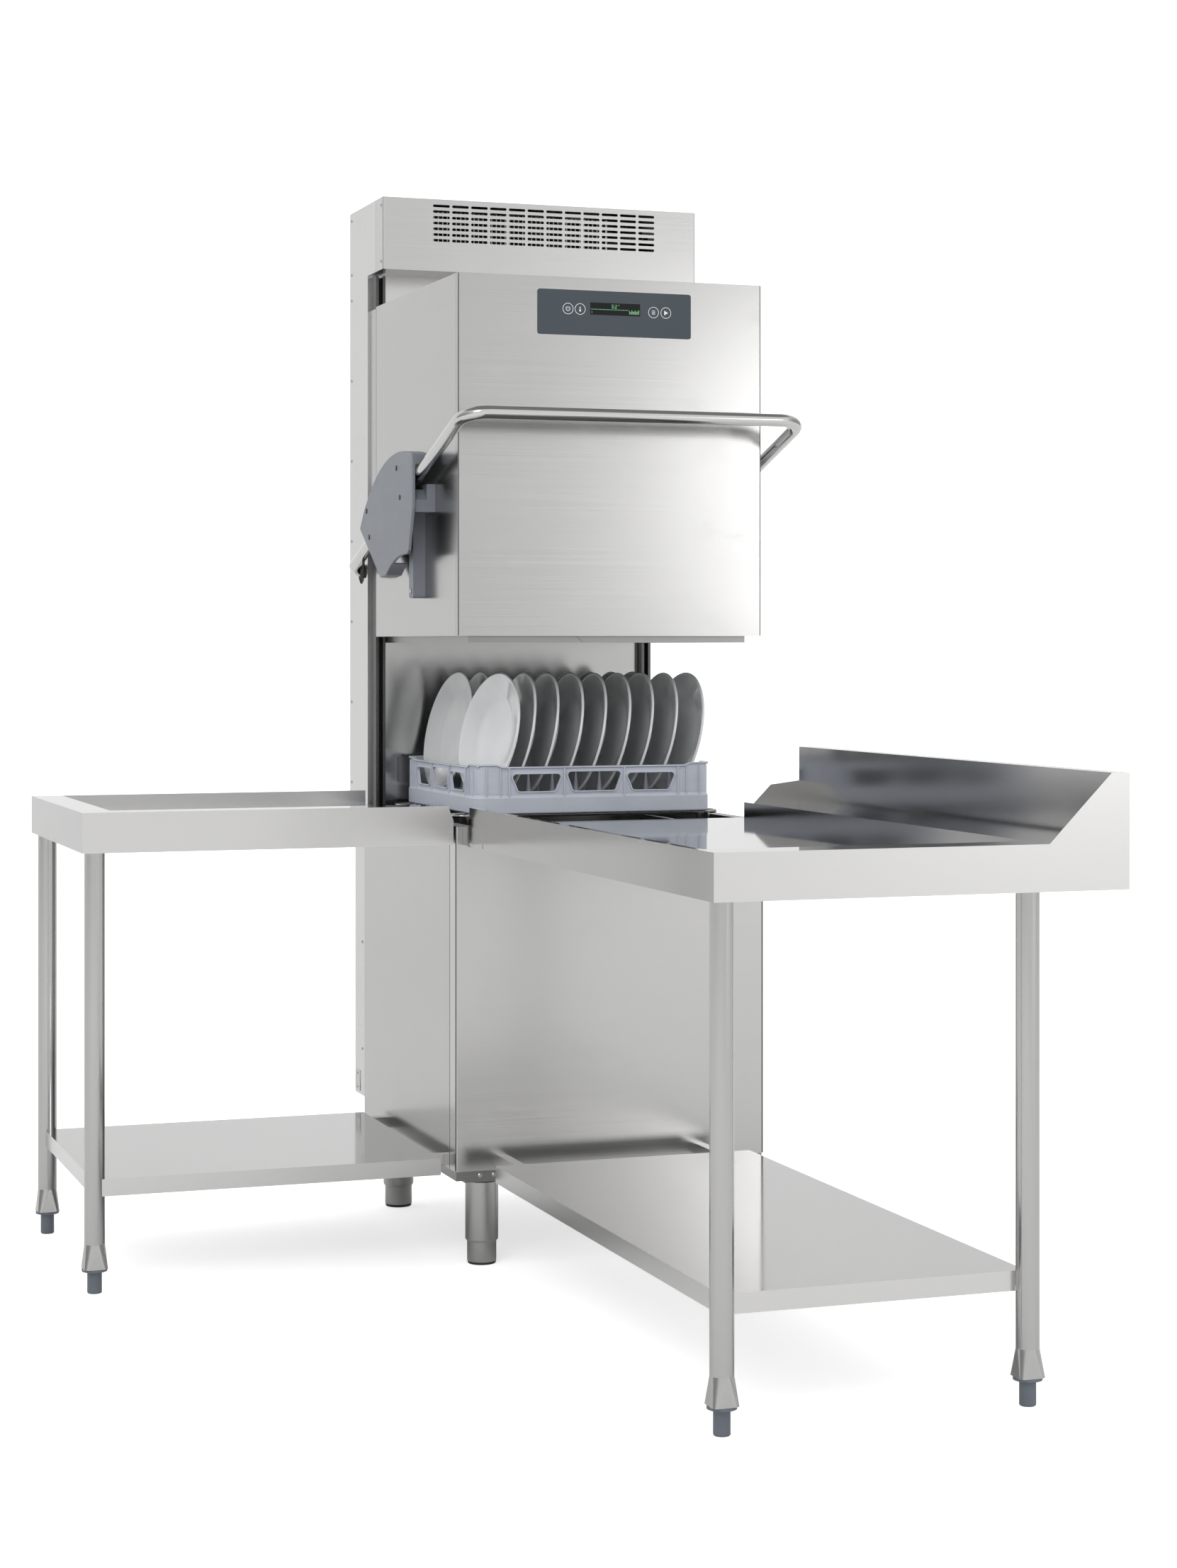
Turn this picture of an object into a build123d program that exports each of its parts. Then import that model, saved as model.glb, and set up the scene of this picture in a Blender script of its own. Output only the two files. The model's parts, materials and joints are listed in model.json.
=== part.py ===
from build123d import *

import os
from math import atan2, cos, degrees, hypot, radians, sin, sqrt

# Pass-through commercial dishwasher for a corner, with a heat-recovery condenser, a side table, a
# front table and a rack of plates. Its hood stands open.
#
# Units are millimetres. x runs to the right, y to the back and z up. Parts are laid out from the
# floor point below the cabinet's front left corner, and save() then moves each of them so that the
# origin is the middle of the whole object's footprint, on the floor.

# ---------------------------------------------------------------- driving dimensions

SHEET = 1.5                     # gauge of all folded sheet
RUN = 0.05                      # radial clearance of a shaft that turns in a bore
GAP = 0.3                       # clearance between parts that only stand side by side

CABINET_W = 640
CABINET_D = 682
CABINET_FOOT = 185              # underside of the cabinet's panels
DECK = 851                      # top of the cabinet
FRONT_WRAP = 39                 # how far the front panel folds round the sides
MIDDLE = CABINET_W / 2
FOOT_PLACES = [(64, 37), (576, 37), (64, 640), (576, 640)]
RAIL_Z = (167, CABINET_FOOT)

TANK_X = (29.5, 612.5)          # opening in the deck and inner width of the tank
TANK_Y = (18, 638)
TANK_FLOOR = 641.5
STRAINER_Z = 742                # top of the ledges that carry the strainers
SUMP_X = (70, 270)
SUMP_Y = (60, 260)
SUMP_FLOOR = 575
DRAIN = (110, 110)              # x and y of the overflow and of the drain pump below it
DRAIN_SPIGOT = (52, 240)        # x and z of the hose spigot at the back
WATER_INLET = (580, 325)        # x and z, likewise
CABLE_ENTRY = (500, 300)

HOOD_X = (5, 635)
HOOD_DEPTH = 605
HOOD_Z = (1217, 1917)
LINER_X = (31, 609)
LINER_Y = (20, 636)
LINER_Z = (1204, 1880)
LEG_X = (-20, HOOD_X[0])        # hanging leg of the hood's bracket
LEG_Y = (228, 258)
LUG_X = (-36, -12)              # lug of the bracket, which holds the lift pin

PANEL_X = (166, 485)            # control panel
PANEL_Z = (1804, 1892)
PANEL_FACE = -2
DISPLAY_X = (274, 378)
DISPLAY_Z = (1845, 1869)
BUTTON_R = 9.5
BUTTONS = {                     # x and z of each button
    "power_button": (228, 1855),
    "temperature_button": (253, 1855),
    "programme_button": (406, 1854),
    "start_button": (432, 1854),
}

POST_X = (8, 29)                # left guide post; the right one mirrors it about POST_MIRROR
POST_Y = (617, 655)
TOWER_Y = (655, 805)
DUCT_Y = (CABINET_D, 760)
DUCT_FOOT = 230
CONDENSER_X = (0, 704)
CONDENSER_Y = (532, 805)
CONDENSER_Z = (1989, 2141)
CONDENSER_WRAP = 58
FAN = (640, 690, 2064)

SHAFT = (706, 1357)             # y and z of the handle's cross shaft
TUBE_R = 12.5                   # handle tube
HANDLE_X = (-25, 665)           # centre lines of the two arms
HANDLE_LENGTH = 893             # cross shaft to front bar
HANDLE_RISE = 18.26             # degrees above level with the hood open
HANDLE_BEND = 48
PIN = (190, 1494)               # y and z of the lift pin on the hood
PIN_R = 6
PIN_PLAY = 5.5                  # side play of the lift pin in the cam slot
CAM_END_PLAY = 8                # play of the lift pin at either end of the slot
HOOD_TRAVEL = 364               # from open to closed
CAM_X = (-40.8, -38.2)          # plate with the cam slot, against the inside of the cover
COVER_X = (-44, -10)
COVER_WALL = 3
COVER_SCREWS = [(268, 1554), (243, 1494), (499, 1478), (479, 1423)]
CRANK_X = (150, 490)            # cranks of the balance springs
CRANK_TIP = (776, 1331)
SPRING_FOOT = 951
SPRING_R = 16

RACK = 500                      # standard square dish rack
RACK_CORNER = (74, 113, 865)
RACK_TOP = 958
RACK_WALL = 5
RACK_WINDOWS = [((-171, -71), 76), ((-56, 56), 82), ((71, 171), 76)]
WINDOW_SILL = 44
PLATE_R = 126
PLATE_RIM = 20                  # height of the rim above the plate's bottom
PLATES_PER_ROW = 9
PLATE_ROWS = [(232, 158, 50.3), (486, 148, 48.5)]   # y of each row, x of its first plate, pitch
PLATE_LEAN = 12
PLATE_CENTRE = 1015
PLATE_RIB = (4, 46)             # width of the ribs below the plates, distance from the row's middle
ARM_CENTRE = (RACK_CORNER[0] + RACK / 2, RACK_CORNER[1] + RACK / 2)
ARM_R = 235
GUIDE_WIRE_R = 4
GUIDE_Z = RACK_CORNER[2] - GUIDE_WIRE_R     # the rack stands on top of the wire

PUMP_Z = 330
LOWER_HUB = 775
TEE_Z = 480                     # where the upper arm's pipe leaves the lower arm's
UPPER_PIPE = 1290
RISER_Y = 720
PIPE_R = 16
PIPE_BORE = 14
HUB_R = 12
LOWER_WASH_Z = 783
LOWER_RINSE_Z = 808
UPPER_WASH_Z = 1231
UPPER_RINSE_Z = 1217
BOILER_Y = 570
BOILER_Z = 300

LEFT_X = (-717, -13)            # left table
LEFT_Y = (-3, 632)
LEFT_TOP = 890
LEFT_LANE_X = -655
LEFT_LANE_Y = (62, 625)
LEFT_LANE_Z = (875, 863)        # lane floor at the far end and at the machine
RIGHT_X = (15, 690)             # front table, up to the splash
RIGHT_Y = (-1298, -33)
RIGHT_TOP = 888
RIGHT_LANE_X = (27, 586)
RIGHT_LANE_Y = -1226
RIGHT_LANE_Z = (866, 858)
RIGHT_LEDGE = 884
SPLASH_X = (690, 722)
SPLASH_TOP = 998
FASCIA = 75                     # depth of the tables' edges
LEG_R = 19
LEFT_LEGS = [(-690, 24), (-690, 597)]
RIGHT_LEGS = [(48, -1248), (568, -1248)]
SHELF_Z = (180, 212)
LEFT_SHELF = ((-696, -27), (8, 590))
RIGHT_SHELF = ((48, 568), (-1240, -103))

CENTRE = Pos(-(LEFT_X[0] + SPLASH_X[1]) / 2, -(RIGHT_Y[0] + TOWER_Y[1]) / 2, 0)


# ---------------------------------------------------------------- shared shapes


def block(x, y, z):
    """Box between two limits on each axis."""
    return Pos(sum(x) / 2, sum(y) / 2, sum(z) / 2) * Box(x[1] - x[0], y[1] - y[0], z[1] - z[0])


def rod(start, end, radius):
    """Round bar between two points."""
    first, last = Vector(*start), Vector(*end)
    line = last - first
    return Plane(origin=(first + last) / 2, z_dir=line) * Cylinder(radius, line.length)


def along_y(place, y, radius):
    """Round bar from front to back at a given x and z."""
    return rod((place[0], y[0], place[1]), (place[0], y[1], place[1]), radius)


def bent_rod(points, bend, radius):
    """Round bar along a line of points, with every corner bent to the same radius."""
    path = FilletPolyline(*points, radius=bend)
    return sweep(Plane(origin=path @ 0, z_dir=path % 0) * Circle(radius), path=path)


def side_prism(points, x, corner=0):
    """Solid with a given side outline in y and z, between two values of x."""
    face = make_face(Polyline(*points, close=True))
    if corner:
        face = fillet(face.vertices(), corner)
    return extrude(Plane.YZ.offset(x[0]) * face, x[1] - x[0], dir=(1, 0, 0))


def front_prism(points, y, corner=0):
    """Solid with a given front outline in x and z, between two values of y."""
    face = make_face(Polyline(*points, close=True))
    if corner:
        face = fillet(face.vertices(), corner)
    return extrude(Pos(0, y[0], 0) * (Plane.XZ * face), y[1] - y[0], dir=(0, 1, 0))


def turned(points):
    """Solid of revolution about z from a half profile in radius and height."""
    return revolve(Plane.XZ * make_face(Polyline(*points, close=True)), Axis.Z)


def folded_front(x, z, depth, bend=4):
    """Sheet front whose upright edges fold back by depth, with its face at y = 0."""
    width, height = x[1] - x[0], z[1] - z[0]
    outer = extrude(RectangleRounded(width, 2 * depth, bend), height)
    inner = extrude(RectangleRounded(width - 2 * SHEET, 2 * (depth - SHEET), bend - SHEET), height)
    back = Pos(0, depth / 2, height / 2) * Box(width, depth, height)
    return Pos(sum(x) / 2, depth, z[0]) * (outer - inner - back)


def pan(x, y, z):
    """Sheet tray turned upside down: a flat top with a fascia on all four sides."""
    return block(x, y, z) - block(inset(x), inset(y), (z[0] - 1, z[1] - SHEET))


def grid(shape, spacing, count):
    """Flat shape repeated on a rectangular grid about its own place."""
    return Sketch() + [place * shape for place in GridLocations(*spacing, *count)]


def inset(limits, by=SHEET):
    """The same two limits, each moved inwards."""
    return (limits[0] + by, limits[1] - by)


def other_side(shape, mirror_x=MIDDLE):
    """Copy of a left-hand part for the right-hand side."""
    return mirror(shape, Plane.YZ.offset(mirror_x))


def both_sides(shape):
    """A left-hand part and its right-hand twin."""
    return [shape, other_side(shape)]


def save(name, *shapes):
    """Writes one named part, which may be several separate solids."""
    solids = [CENTRE * solid for shape in shapes for solid in shape.solids()]
    export_step(Compound(solids), f"parts/{name}.step")


# ---------------------------------------------------------------- cabinet

def base_frame():
    """Welded ring of rails with a bracket over each foot and a floor sheet on top."""
    rails = block((2, 638), (2, 680), RAIL_Z) - block((42, 598), (42, 640), (160, 190))
    cross = block((42, 598), (340, 380), RAIL_Z)
    under = (RAIL_Z[0] - 4, RAIL_Z[0])
    brackets = [block((x - 45, x + 45), (max(y - 35, 2), y + 40), under) for x, y in FOOT_PLACES]
    tray = block((15, 625), (44, 677), (CABINET_FOOT, CABINET_FOOT + SHEET))
    return rails + cross + brackets + tray


def machine_feet():
    """Height-adjustable feet: a wide tube over a narrower screwed leg."""
    profile = [(0, 5), (28, 5), (28.5, 6), (28.5, 43), (32, 48), (32, 160), (30, 163), (0, 163)]
    return [Pos(x, y, 0) * turned(profile) for x, y in FOOT_PLACES]


def foot_pads():
    """Rubber pad under each machine foot."""
    profile = [(0, 0), (26, 0), (27.5, 1.5), (27.5, 5), (0, 5)]
    return [Pos(x, y, 0) * turned(profile) for x, y in FOOT_PLACES]


def foot_screws():
    """Two round-headed screws over each front foot."""
    screw = Rot(X=90) * turned([(0, 0), (4.5, 0), (4.5, 1.2), (2.5, 2.6), (0, 2.6)])
    return [Pos(x + offset, 2, 176) * screw for x in (64, 576) for offset in (-14, 14)]


def side_panels():
    """Side sheets of the cabinet with a folded front and back edge."""
    y = (FRONT_WRAP + 0.8, CABINET_D)
    z = (CABINET_FOOT, DECK - SHEET)
    left = block((0, 14), y, z) - block((SHEET, 15), inset(y), (z[0] - 1, z[1] + 1))
    return both_sides(left)


# ---------------------------------------------------------------- tank and rack guide

def tank():
    """Wash tank with a sump, the deck round its mouth and ledges for the strainers."""
    top = DECK - SHEET
    rim = block((0, CABINET_W), (0, 680.4), (top, DECK)) - block(TANK_X, TANK_Y, (top - 5, DECK + 5))
    ledge = block(inset(TANK_X, -0.5), inset(TANK_Y, -0.5), (STRAINER_Z - 4, STRAINER_Z))
    ledge -= block(inset(TANK_X, 14), inset(TANK_Y, 14), (STRAINER_Z - 10, STRAINER_Z + 10))
    outer = block(inset(TANK_X, -SHEET), inset(TANK_Y, -SHEET), (TANK_FLOOR - SHEET, top))
    outer += block(SUMP_X, SUMP_Y, (SUMP_FLOOR, TANK_FLOOR))
    inner = block(TANK_X, TANK_Y, (TANK_FLOOR, top + 1))
    inner += block(inset(SUMP_X), inset(SUMP_Y), (SUMP_FLOOR + SHEET, TANK_FLOOR + 1))
    feed_hole = rod((*ARM_CENTRE, TANK_FLOOR - 5), (*ARM_CENTRE, TANK_FLOOR + 5), 16.3)
    suction_hole = rod((200, 200, SUMP_FLOOR - 5), (200, 200, SUMP_FLOOR + 5), 16)
    drain_hole = rod((*DRAIN, SUMP_FLOOR - 5), (*DRAIN, SUMP_FLOOR + 5), 12)
    return outer - inner - feed_hole - suction_hole - drain_hole + rim + ledge


def strainers():
    """Slotted strainer sheet over the tank floor, with holes for the wash hub and the overflow."""
    sheet = block(inset(TANK_X, 2), inset(TANK_Y, 2), (STRAINER_Z, STRAINER_Z + 2))
    low, high = STRAINER_Z - 2, STRAINER_Z + 6
    centre = Pos(sum(TANK_X) / 2, sum(TANK_Y) / 2, low)
    slots = extrude(centre * grid(SlotOverall(28, 6), (38, 30), (14, 18)), high - low)
    hub = rod((*ARM_CENTRE, low), (*ARM_CENTRE, high), 30)
    drain = rod((*DRAIN, low), (*DRAIN, high), 24)
    return sheet - slots - hub - drain


def overflow_pipe():
    """Standpipe that sets the water level and is pulled out to drain the tank."""
    foot = SUMP_FLOOR + SHEET
    pipe = [(11, foot), (19, foot), (19, 776), (23, 780), (23, 786), (11, 786)]
    return Pos(*DRAIN, 0) * turned(pipe)


def tank_heater():
    """Two looped heating rods along the tank's right side, on a common flange."""
    loops = []
    for y in (460, 520):
        points = [(612, y, 690), (330, y, 690), (330, y + 36, 690), (612, y + 36, 690)]
        loops.append(bent_rod(points, 16, 4.5))
    flange = block((606, TANK_X[1]), (440, 576), (670, 710))
    return flange + loops


def rack_guide():
    """Wire frame: two long loops that carry the rack, on two cross wires over the tank."""
    parts = []
    width = 50
    loop_y = (162, 564)
    cross_z = 831
    loop = RectangleRounded(560, width, 24.5)
    for y in loop_y:
        wire = (Pos(MIDDLE, y, GUIDE_Z) * loop).wire()
        parts.append(sweep(Plane(origin=wire @ 0, z_dir=wire % 0) * Circle(GUIDE_WIRE_R), path=wire))
    posts = [y + side * width / 2 for y in loop_y for side in (-1, 1)]
    for x in (66, 576):
        parts.append(rod((x, TANK_Y[0], cross_z), (x, TANK_Y[1], cross_z), GUIDE_WIRE_R))
        parts += [rod((x, y, cross_z), (x, y, GUIDE_Z), GUIDE_WIRE_R) for y in posts]
    frame = parts[0]
    for part in parts[1:]:
        frame += part
    return frame


# ---------------------------------------------------------------- wash and rinse system

def wash_pipes():
    """Pressure pipe from the pump, straight up to the lower arm and round the back to the upper."""
    x, y = ARM_CENTRE

    def run(radius):
        up = rod((x, y, PUMP_Z + 64), (x, y, LOWER_HUB), radius)
        route = [(x, y, TEE_Z), (x, RISER_Y, TEE_Z), (x, RISER_Y, UPPER_PIPE), (x, y, UPPER_PIPE)]
        route.append((x, y, UPPER_PIPE - 38))
        return up + bent_rod(route, 24, radius)

    lower_hub = rod((x, y, LOWER_HUB - 2), (x, y, LOWER_HUB + 50), HUB_R)
    upper_hub = rod((x, y, UPPER_PIPE - 82), (x, y, UPPER_PIPE - 36), HUB_R)
    caps = [rod((x, y, z), (x, y, z + 5), 15) for z in (LOWER_HUB + 50, UPPER_PIPE - 82.5)]
    pipe = run(PIPE_R) - run(PIPE_BORE)
    plugs = rod((x, y, LOWER_HUB - 4), (x, y, LOWER_HUB), PIPE_R)
    plugs += rod((x, y, UPPER_PIPE - 38), (x, y, UPPER_PIPE - 34), PIPE_R)
    return pipe + plugs + lower_hub + upper_hub + caps


def spray_arm(z, height, width, nozzle_side):
    """Two-bladed spray arm that turns on a fixed hub; its jets stand on one face."""
    arm = extrude(Pos(0, 0, z) * SlotOverall(2 * ARM_R, width), height)
    arm += Pos(0, 0, z + height / 2) * Cylinder(24, height)
    jet_z = z + height if nozzle_side > 0 else z - 2
    for distance in range(60, ARM_R - 10, 34):
        for side in (-1, 1):
            arm += Pos(side * distance, 0, jet_z + 1) * Cylinder(5, 2)
    arm = Rot(Z=38) * (arm - Pos(0, 0, z) * Cylinder(HUB_R + RUN, 100))
    return Pos(*ARM_CENTRE, 0) * arm


def suction_hose():
    """Hose from the sump to the pump's eye."""
    x = ARM_CENTRE[0]
    y = ARM_CENTRE[1]
    route = [(200, 200, SUMP_FLOOR), (200, 200, PUMP_Z), (200, y, PUMP_Z), (x - 26, y, PUMP_Z)]
    return bent_rod(route, 40, 22) - bent_rod(route, 40, 18)


def pump_volute():
    """Pump housing, open at its eye, its outlet and its shaft."""
    x, y = ARM_CENTRE
    body = rod((x - 26, y, PUMP_Z), (x + 26, y, PUMP_Z), 64)
    body += rod((x, y, PUMP_Z), (x, y, PUMP_Z + 80), 20)
    hollow = rod((x - 21, y, PUMP_Z), (x + 21, y, PUMP_Z), 58)
    hollow += rod((x, y, PUMP_Z), (x, y, PUMP_Z + 90), PIPE_R + RUN)
    eye = rod((x - 30, y, PUMP_Z), (x, y, PUMP_Z), 18)
    shaft = rod((x, y, PUMP_Z), (x + 30, y, PUMP_Z), 6 + RUN)
    return body - hollow - eye - shaft


def pump_motor():
    """Ribbed pump motor on a foot, with a bore for the impeller's shaft."""
    x, y = ARM_CENTRE
    motor = rod((x + 26, y, PUMP_Z), (x + 200, y, PUMP_Z), 56)
    for step in range(8):
        motor += rod((x + 50 + 16 * step, y, PUMP_Z), (x + 56 + 16 * step, y, PUMP_Z), 62)
    motor += block((x + 60, x + 160), (y - 45, y + 45), (CABINET_FOOT + SHEET, PUMP_Z - 30))
    motor += block((x + 80, x + 140), (y - 30, y + 30), (PUMP_Z + 40, PUMP_Z + 90))
    return motor - rod((x + 20, y, PUMP_Z), (x + 80, y, PUMP_Z), 6 + RUN)


def pump_impeller():
    """Backed disc with six vanes on the motor's shaft."""
    x, y = ARM_CENTRE
    wheel = rod((x + 8, y, PUMP_Z), (x + 14, y, PUMP_Z), 48)
    wheel += rod((x - 8, y, PUMP_Z), (x + 14, y, PUMP_Z), 14)
    wheel += rod((x + 10, y, PUMP_Z), (x + 70, y, PUMP_Z), 6)
    vane = block((-8, 8), (-1.5, 1.5), (10, 46))
    for turn in range(6):
        wheel += Pos(x, y, PUMP_Z) * Rot(X=60 * turn) * vane
    return wheel


def rinse_boiler():
    """Closed rinse boiler on two saddles, with an opening for its element."""
    body = rod((120, BOILER_Y, BOILER_Z), (480, BOILER_Y, BOILER_Z), 70)
    body = fillet(body.edges().filter_by(GeomType.CIRCLE), 12)
    inner = rod((123, BOILER_Y, BOILER_Z), (477, BOILER_Y, BOILER_Z), 67)
    saddles = [block((x, x + 12), (BOILER_Y - 50, BOILER_Y + 50), (186.5, 250)) for x in (170, 420)]
    opening = rod((470, BOILER_Y, BOILER_Z), (490, BOILER_Y, BOILER_Z), 26)
    return body + saddles - inner - opening


def boiler_heater():
    """Rinse heater: flange, terminals and a looped element inside the boiler."""
    flange = rod((480, BOILER_Y, BOILER_Z), (488, BOILER_Y, BOILER_Z), 38)
    terminals = [rod((488, BOILER_Y + y, BOILER_Z), (506, BOILER_Y + y, BOILER_Z), 5) for y in (-18, 18)]
    points = [(486, BOILER_Y - 16, BOILER_Z), (180, BOILER_Y - 16, BOILER_Z)]
    points += [(180, BOILER_Y + 16, BOILER_Z), (486, BOILER_Y + 16, BOILER_Z)]
    return flange + terminals + bent_rod(points, 14, 5)


def drain_pump():
    """Small drain pump under the sump, with its pipe to the spigot at the back of the duct."""
    body = rod((*DRAIN, 186.5), (*DRAIN, 260), 36) + rod((*DRAIN, 260), (*DRAIN, 290), 26)
    body += rod((*DRAIN, 290), (*DRAIN, SUMP_FLOOR), 14)
    z = DRAIN_SPIGOT[1]
    route = [(DRAIN[0] - 20, DRAIN[1], z), (DRAIN_SPIGOT[0], DRAIN[1], z), (DRAIN_SPIGOT[0], 764, z)]
    return body + bent_rod(route, 18, 13.5) + along_y(DRAIN_SPIGOT, (760, 802), 12)


def water_inlet():
    """Solenoid valve in the service duct with its threaded inlet at the back."""
    x, z = WATER_INLET
    valve = block((x - 20, x + 20), (700, 740), (z - 25, z + 25))
    coil = rod((x, 720, z + 25), (x, 720, z + 60), 16)
    return valve + coil + along_y(WATER_INLET, (740, 764), 14.5) + along_y(WATER_INLET, (764, 802), 13)


def dosing_pumps():
    """Detergent and rinse-aid pumps behind the front panel."""
    pumps = []
    for x in (430, 530):
        body = block((x, x + 70), (60, 120), (400, 480))
        pumps.append(body + rod((x + 35, 60, 440), (x + 35, 46, 440), 26))
    rail = block((420, 610), (120, 124), (390, 490))
    return pumps + [rail]


def control_box():
    """Box for the contactors, with ribs on its lid."""
    box = block((300, 410), (60, 130), (400, 560))
    ribs = [block((310, 400), (56, 60), (z, z + 4)) for z in range(420, 550, 16)]
    return box + ribs


# ---------------------------------------------------------------- back of the machine


def rear_wall():
    """Back wall of the wash chamber."""
    panel = block((30, 610), (640, 641.5), (DECK, 1545))
    return panel - along_y((ARM_CENTRE[0], UPPER_PIPE), (630, 650), 20)


def guide_posts():
    """Channels, open to the front, in which the hood's shoes run."""
    height = (DECK, 1985)
    post = block(POST_X, POST_Y, height) - block(inset(POST_X), inset(POST_Y), inset(height, -1))
    return both_sides(post - block((14, 23), (610, 620), inset(height, -1)))


def shaft_holes(x, radius):
    """Cutter for the handle's two openings in the tower's sides."""
    return rod((x[0], *SHAFT), (x[1], *SHAFT), radius)


def tower():
    """Tall rear housing, with the plates that carry the cross shaft and the springs' anchors."""
    z = (DECK, CONDENSER_Z[0])
    wall = (0, CABINET_W)
    shell = block(wall, TOWER_Y, z) - block(inset(wall), inset(TOWER_Y), inset(z, -1))
    pipe_hole = along_y((ARM_CENTRE[0], UPPER_PIPE), (640, 670), 20)
    return shell - shaft_holes((-5, 645), 26) - pipe_hole + shaft_brackets() + spring_anchors()


def service_duct():
    """Narrower housing below the tower, behind the cabinet, for pipes and cables."""
    z = (DUCT_FOOT, DECK)
    shell = block((0, CABINET_W), (DUCT_Y[0], DUCT_Y[1]), z)
    shell -= block((SHEET, CABINET_W - SHEET), inset(DUCT_Y), inset(z, -1))
    drain = along_y(DRAIN_SPIGOT, (670, 770), 14)
    water = along_y(WATER_INLET, (750, 770), 15)
    cable = along_y(CABLE_ENTRY, (750, 770), 12.5)
    wash = along_y((ARM_CENTRE[0], TEE_Z), (670, 690), 20)
    return shell - drain - water - cable - wash


def cable_gland():
    """Gland for the mains cable at the back of the duct, with an open bore."""
    x, z = CABLE_ENTRY
    gland = along_y(CABLE_ENTRY, (748, 758.5), 18) + along_y(CABLE_ENTRY, (756, 776), 12)
    gland += Pos(x, 768, z) * Rot(X=90) * extrude(RegularPolygon(17, 6), 8)
    return gland - along_y(CABLE_ENTRY, (740, 790), 7)


def shaft_brackets():
    """Plates across the tower that carry the bushes of the cross shaft."""
    plate = block((33, 41), inset(TOWER_Y), (1312, 1402))
    return both_sides(plate - rod((30, *SHAFT), (44, *SHAFT), 17))


def shaft_bushes():
    """Flanged plastic bushes for the cross shaft."""
    bush = rod((33, *SHAFT), (44, *SHAFT), 17) + rod((41, *SHAFT), (44, *SHAFT), 22)
    return both_sides(bush - rod((30, *SHAFT), (50, *SHAFT), TUBE_R + RUN))


# ---------------------------------------------------------------- condenser


def condenser_front():
    """Slotted front of the condenser housing, folded round both sides."""
    front = Pos(0, CONDENSER_Y[0], 0) * folded_front(CONDENSER_X, CONDENSER_Z, CONDENSER_WRAP, 3)
    place = Pos(359, CONDENSER_Y[0] + 10, 2090.5) * Rot(X=90)
    slots = place * grid(SlotOverall(37, 5.6), (42, 12.1), (12, 7))
    return front - extrude(slots, 20, dir=(0, -1, 0))


def condenser_body():
    """Rear of the condenser housing: sides, top, floor and back."""
    y = (CONDENSER_Y[0] + CONDENSER_WRAP + 0.8, CONDENSER_Y[1])
    shell = block(CONDENSER_X, y, CONDENSER_Z)
    shell -= block(inset(CONDENSER_X), (y[0] - 1, y[1] - SHEET), inset(CONDENSER_Z))
    front = (CONDENSER_Y[0] + SHEET + GAP, y[0])
    for z in (CONDENSER_Z[0], CONDENSER_Z[1] - SHEET):
        shell += block(inset(CONDENSER_X, 4), front, (z, z + SHEET))
    vent = block((60, 580), (670, 790), (CONDENSER_Z[0] - 5, CONDENSER_Z[0] + 5))
    return shell - vent


def condenser_coil():
    """Finned coil that takes the heat out of the steam."""
    y, z = (600, 740), (2000, 2125)
    fins = [block((x, x + 2), y, z) for x in range(110, 520, 10)]
    coil = block((106, 110), y, z) + block((520, 524), y, z)
    for y in (630, 670, 710):
        for z in (2025, 2062, 2099):
            coil += rod((96, y, z), (534, y, z), 5)
    return coil + fins


def fan_motor():
    """Fan motor on a bracket against the right side of the housing."""
    x, y, z = FAN
    motor = rod((x + 10, y, z), (x + 50, y, z), 30)
    motor += block((x + 40, CONDENSER_X[1] - SHEET), (y - 40, y + 40), (z - 50, z + 50))
    return motor - rod((x, y, z), (x + 30, y, z), 4 + RUN)


def fan_rotor():
    """Axial rotor with seven pitched blades."""
    x, y, z = FAN
    rotor = rod((x - 22, y, z), (x + 6, y, z), 18) + rod((x, y, z), (x + 26, y, z), 4)
    blade = Rot(Z=32) * block((-9, 9), (-1.2, 1.2), (14, 56))
    for turn in range(7):
        rotor += Pos(x - 8, y, z) * Rot(X=turn * 360 / 7) * blade
    return rotor


# ---------------------------------------------------------------- hood


def hood_front():
    """Front sheet of the hood, folded back at its edges, with holes for the buttons."""
    x, z = HOOD_X, HOOD_Z
    sheet = block(x, (0, 12), z) - block(inset(x), (SHEET, 13), inset(z))
    for centre in BUTTONS.values():
        sheet -= rod((centre[0], -5, centre[1]), (centre[0], 5, centre[1]), BUTTON_R + 1)
    return sheet


def hood_shell():
    """Sides and top of the hood, open at the back and below, with folded edges."""
    x, y, z = HOOD_X, (12.8, HOOD_DEPTH), HOOD_Z
    shell = block(x, y, z) - block(inset(x), (0, 700), (z[0] - 1, z[1] - SHEET))
    floor = (z[0], z[0] + SHEET)
    for side in ((x[0], LINER_X[0]), (LINER_X[1], x[1])):
        shell += block(side, y, floor)
        flange = (side[0], 29) if side[0] < MIDDLE else (CABINET_W - 29, side[1])
        shell += block(flange, (HOOD_DEPTH - SHEET, HOOD_DEPTH), z)
    return shell + block(x, (y[0], LINER_Y[0]), floor)


def hood_liner():
    """Inner wall of the hood; its skirt hangs below the hood and dips into the tank."""
    x, y, z = LINER_X, LINER_Y, LINER_Z
    liner = block(x, y, z) - block(inset(x), (y[0] + SHEET, y[1] + 1), (z[0] - 1, z[1] - SHEET))
    tab = [(251, HOOD_Z[0]), (268, z[0]), (381, z[0]), (395, HOOD_Z[0])]
    return liner + front_prism(tab, (y[0] - SHEET, y[0]))


def hood_shoes():
    """Plastic shoes that run in the guide posts, two on each side."""
    shoes = []
    for z in ((1250, 1310), (1835, 1895)):
        shoe = block((9, 28), (HOOD_DEPTH, HOOD_DEPTH + 5), z)
        shoe += block((15, 22), (HOOD_DEPTH, 640), z) + block((10.5, 26.5), (622, 640), z)
        shoes += both_sides(shoe)
    return shoes


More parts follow.
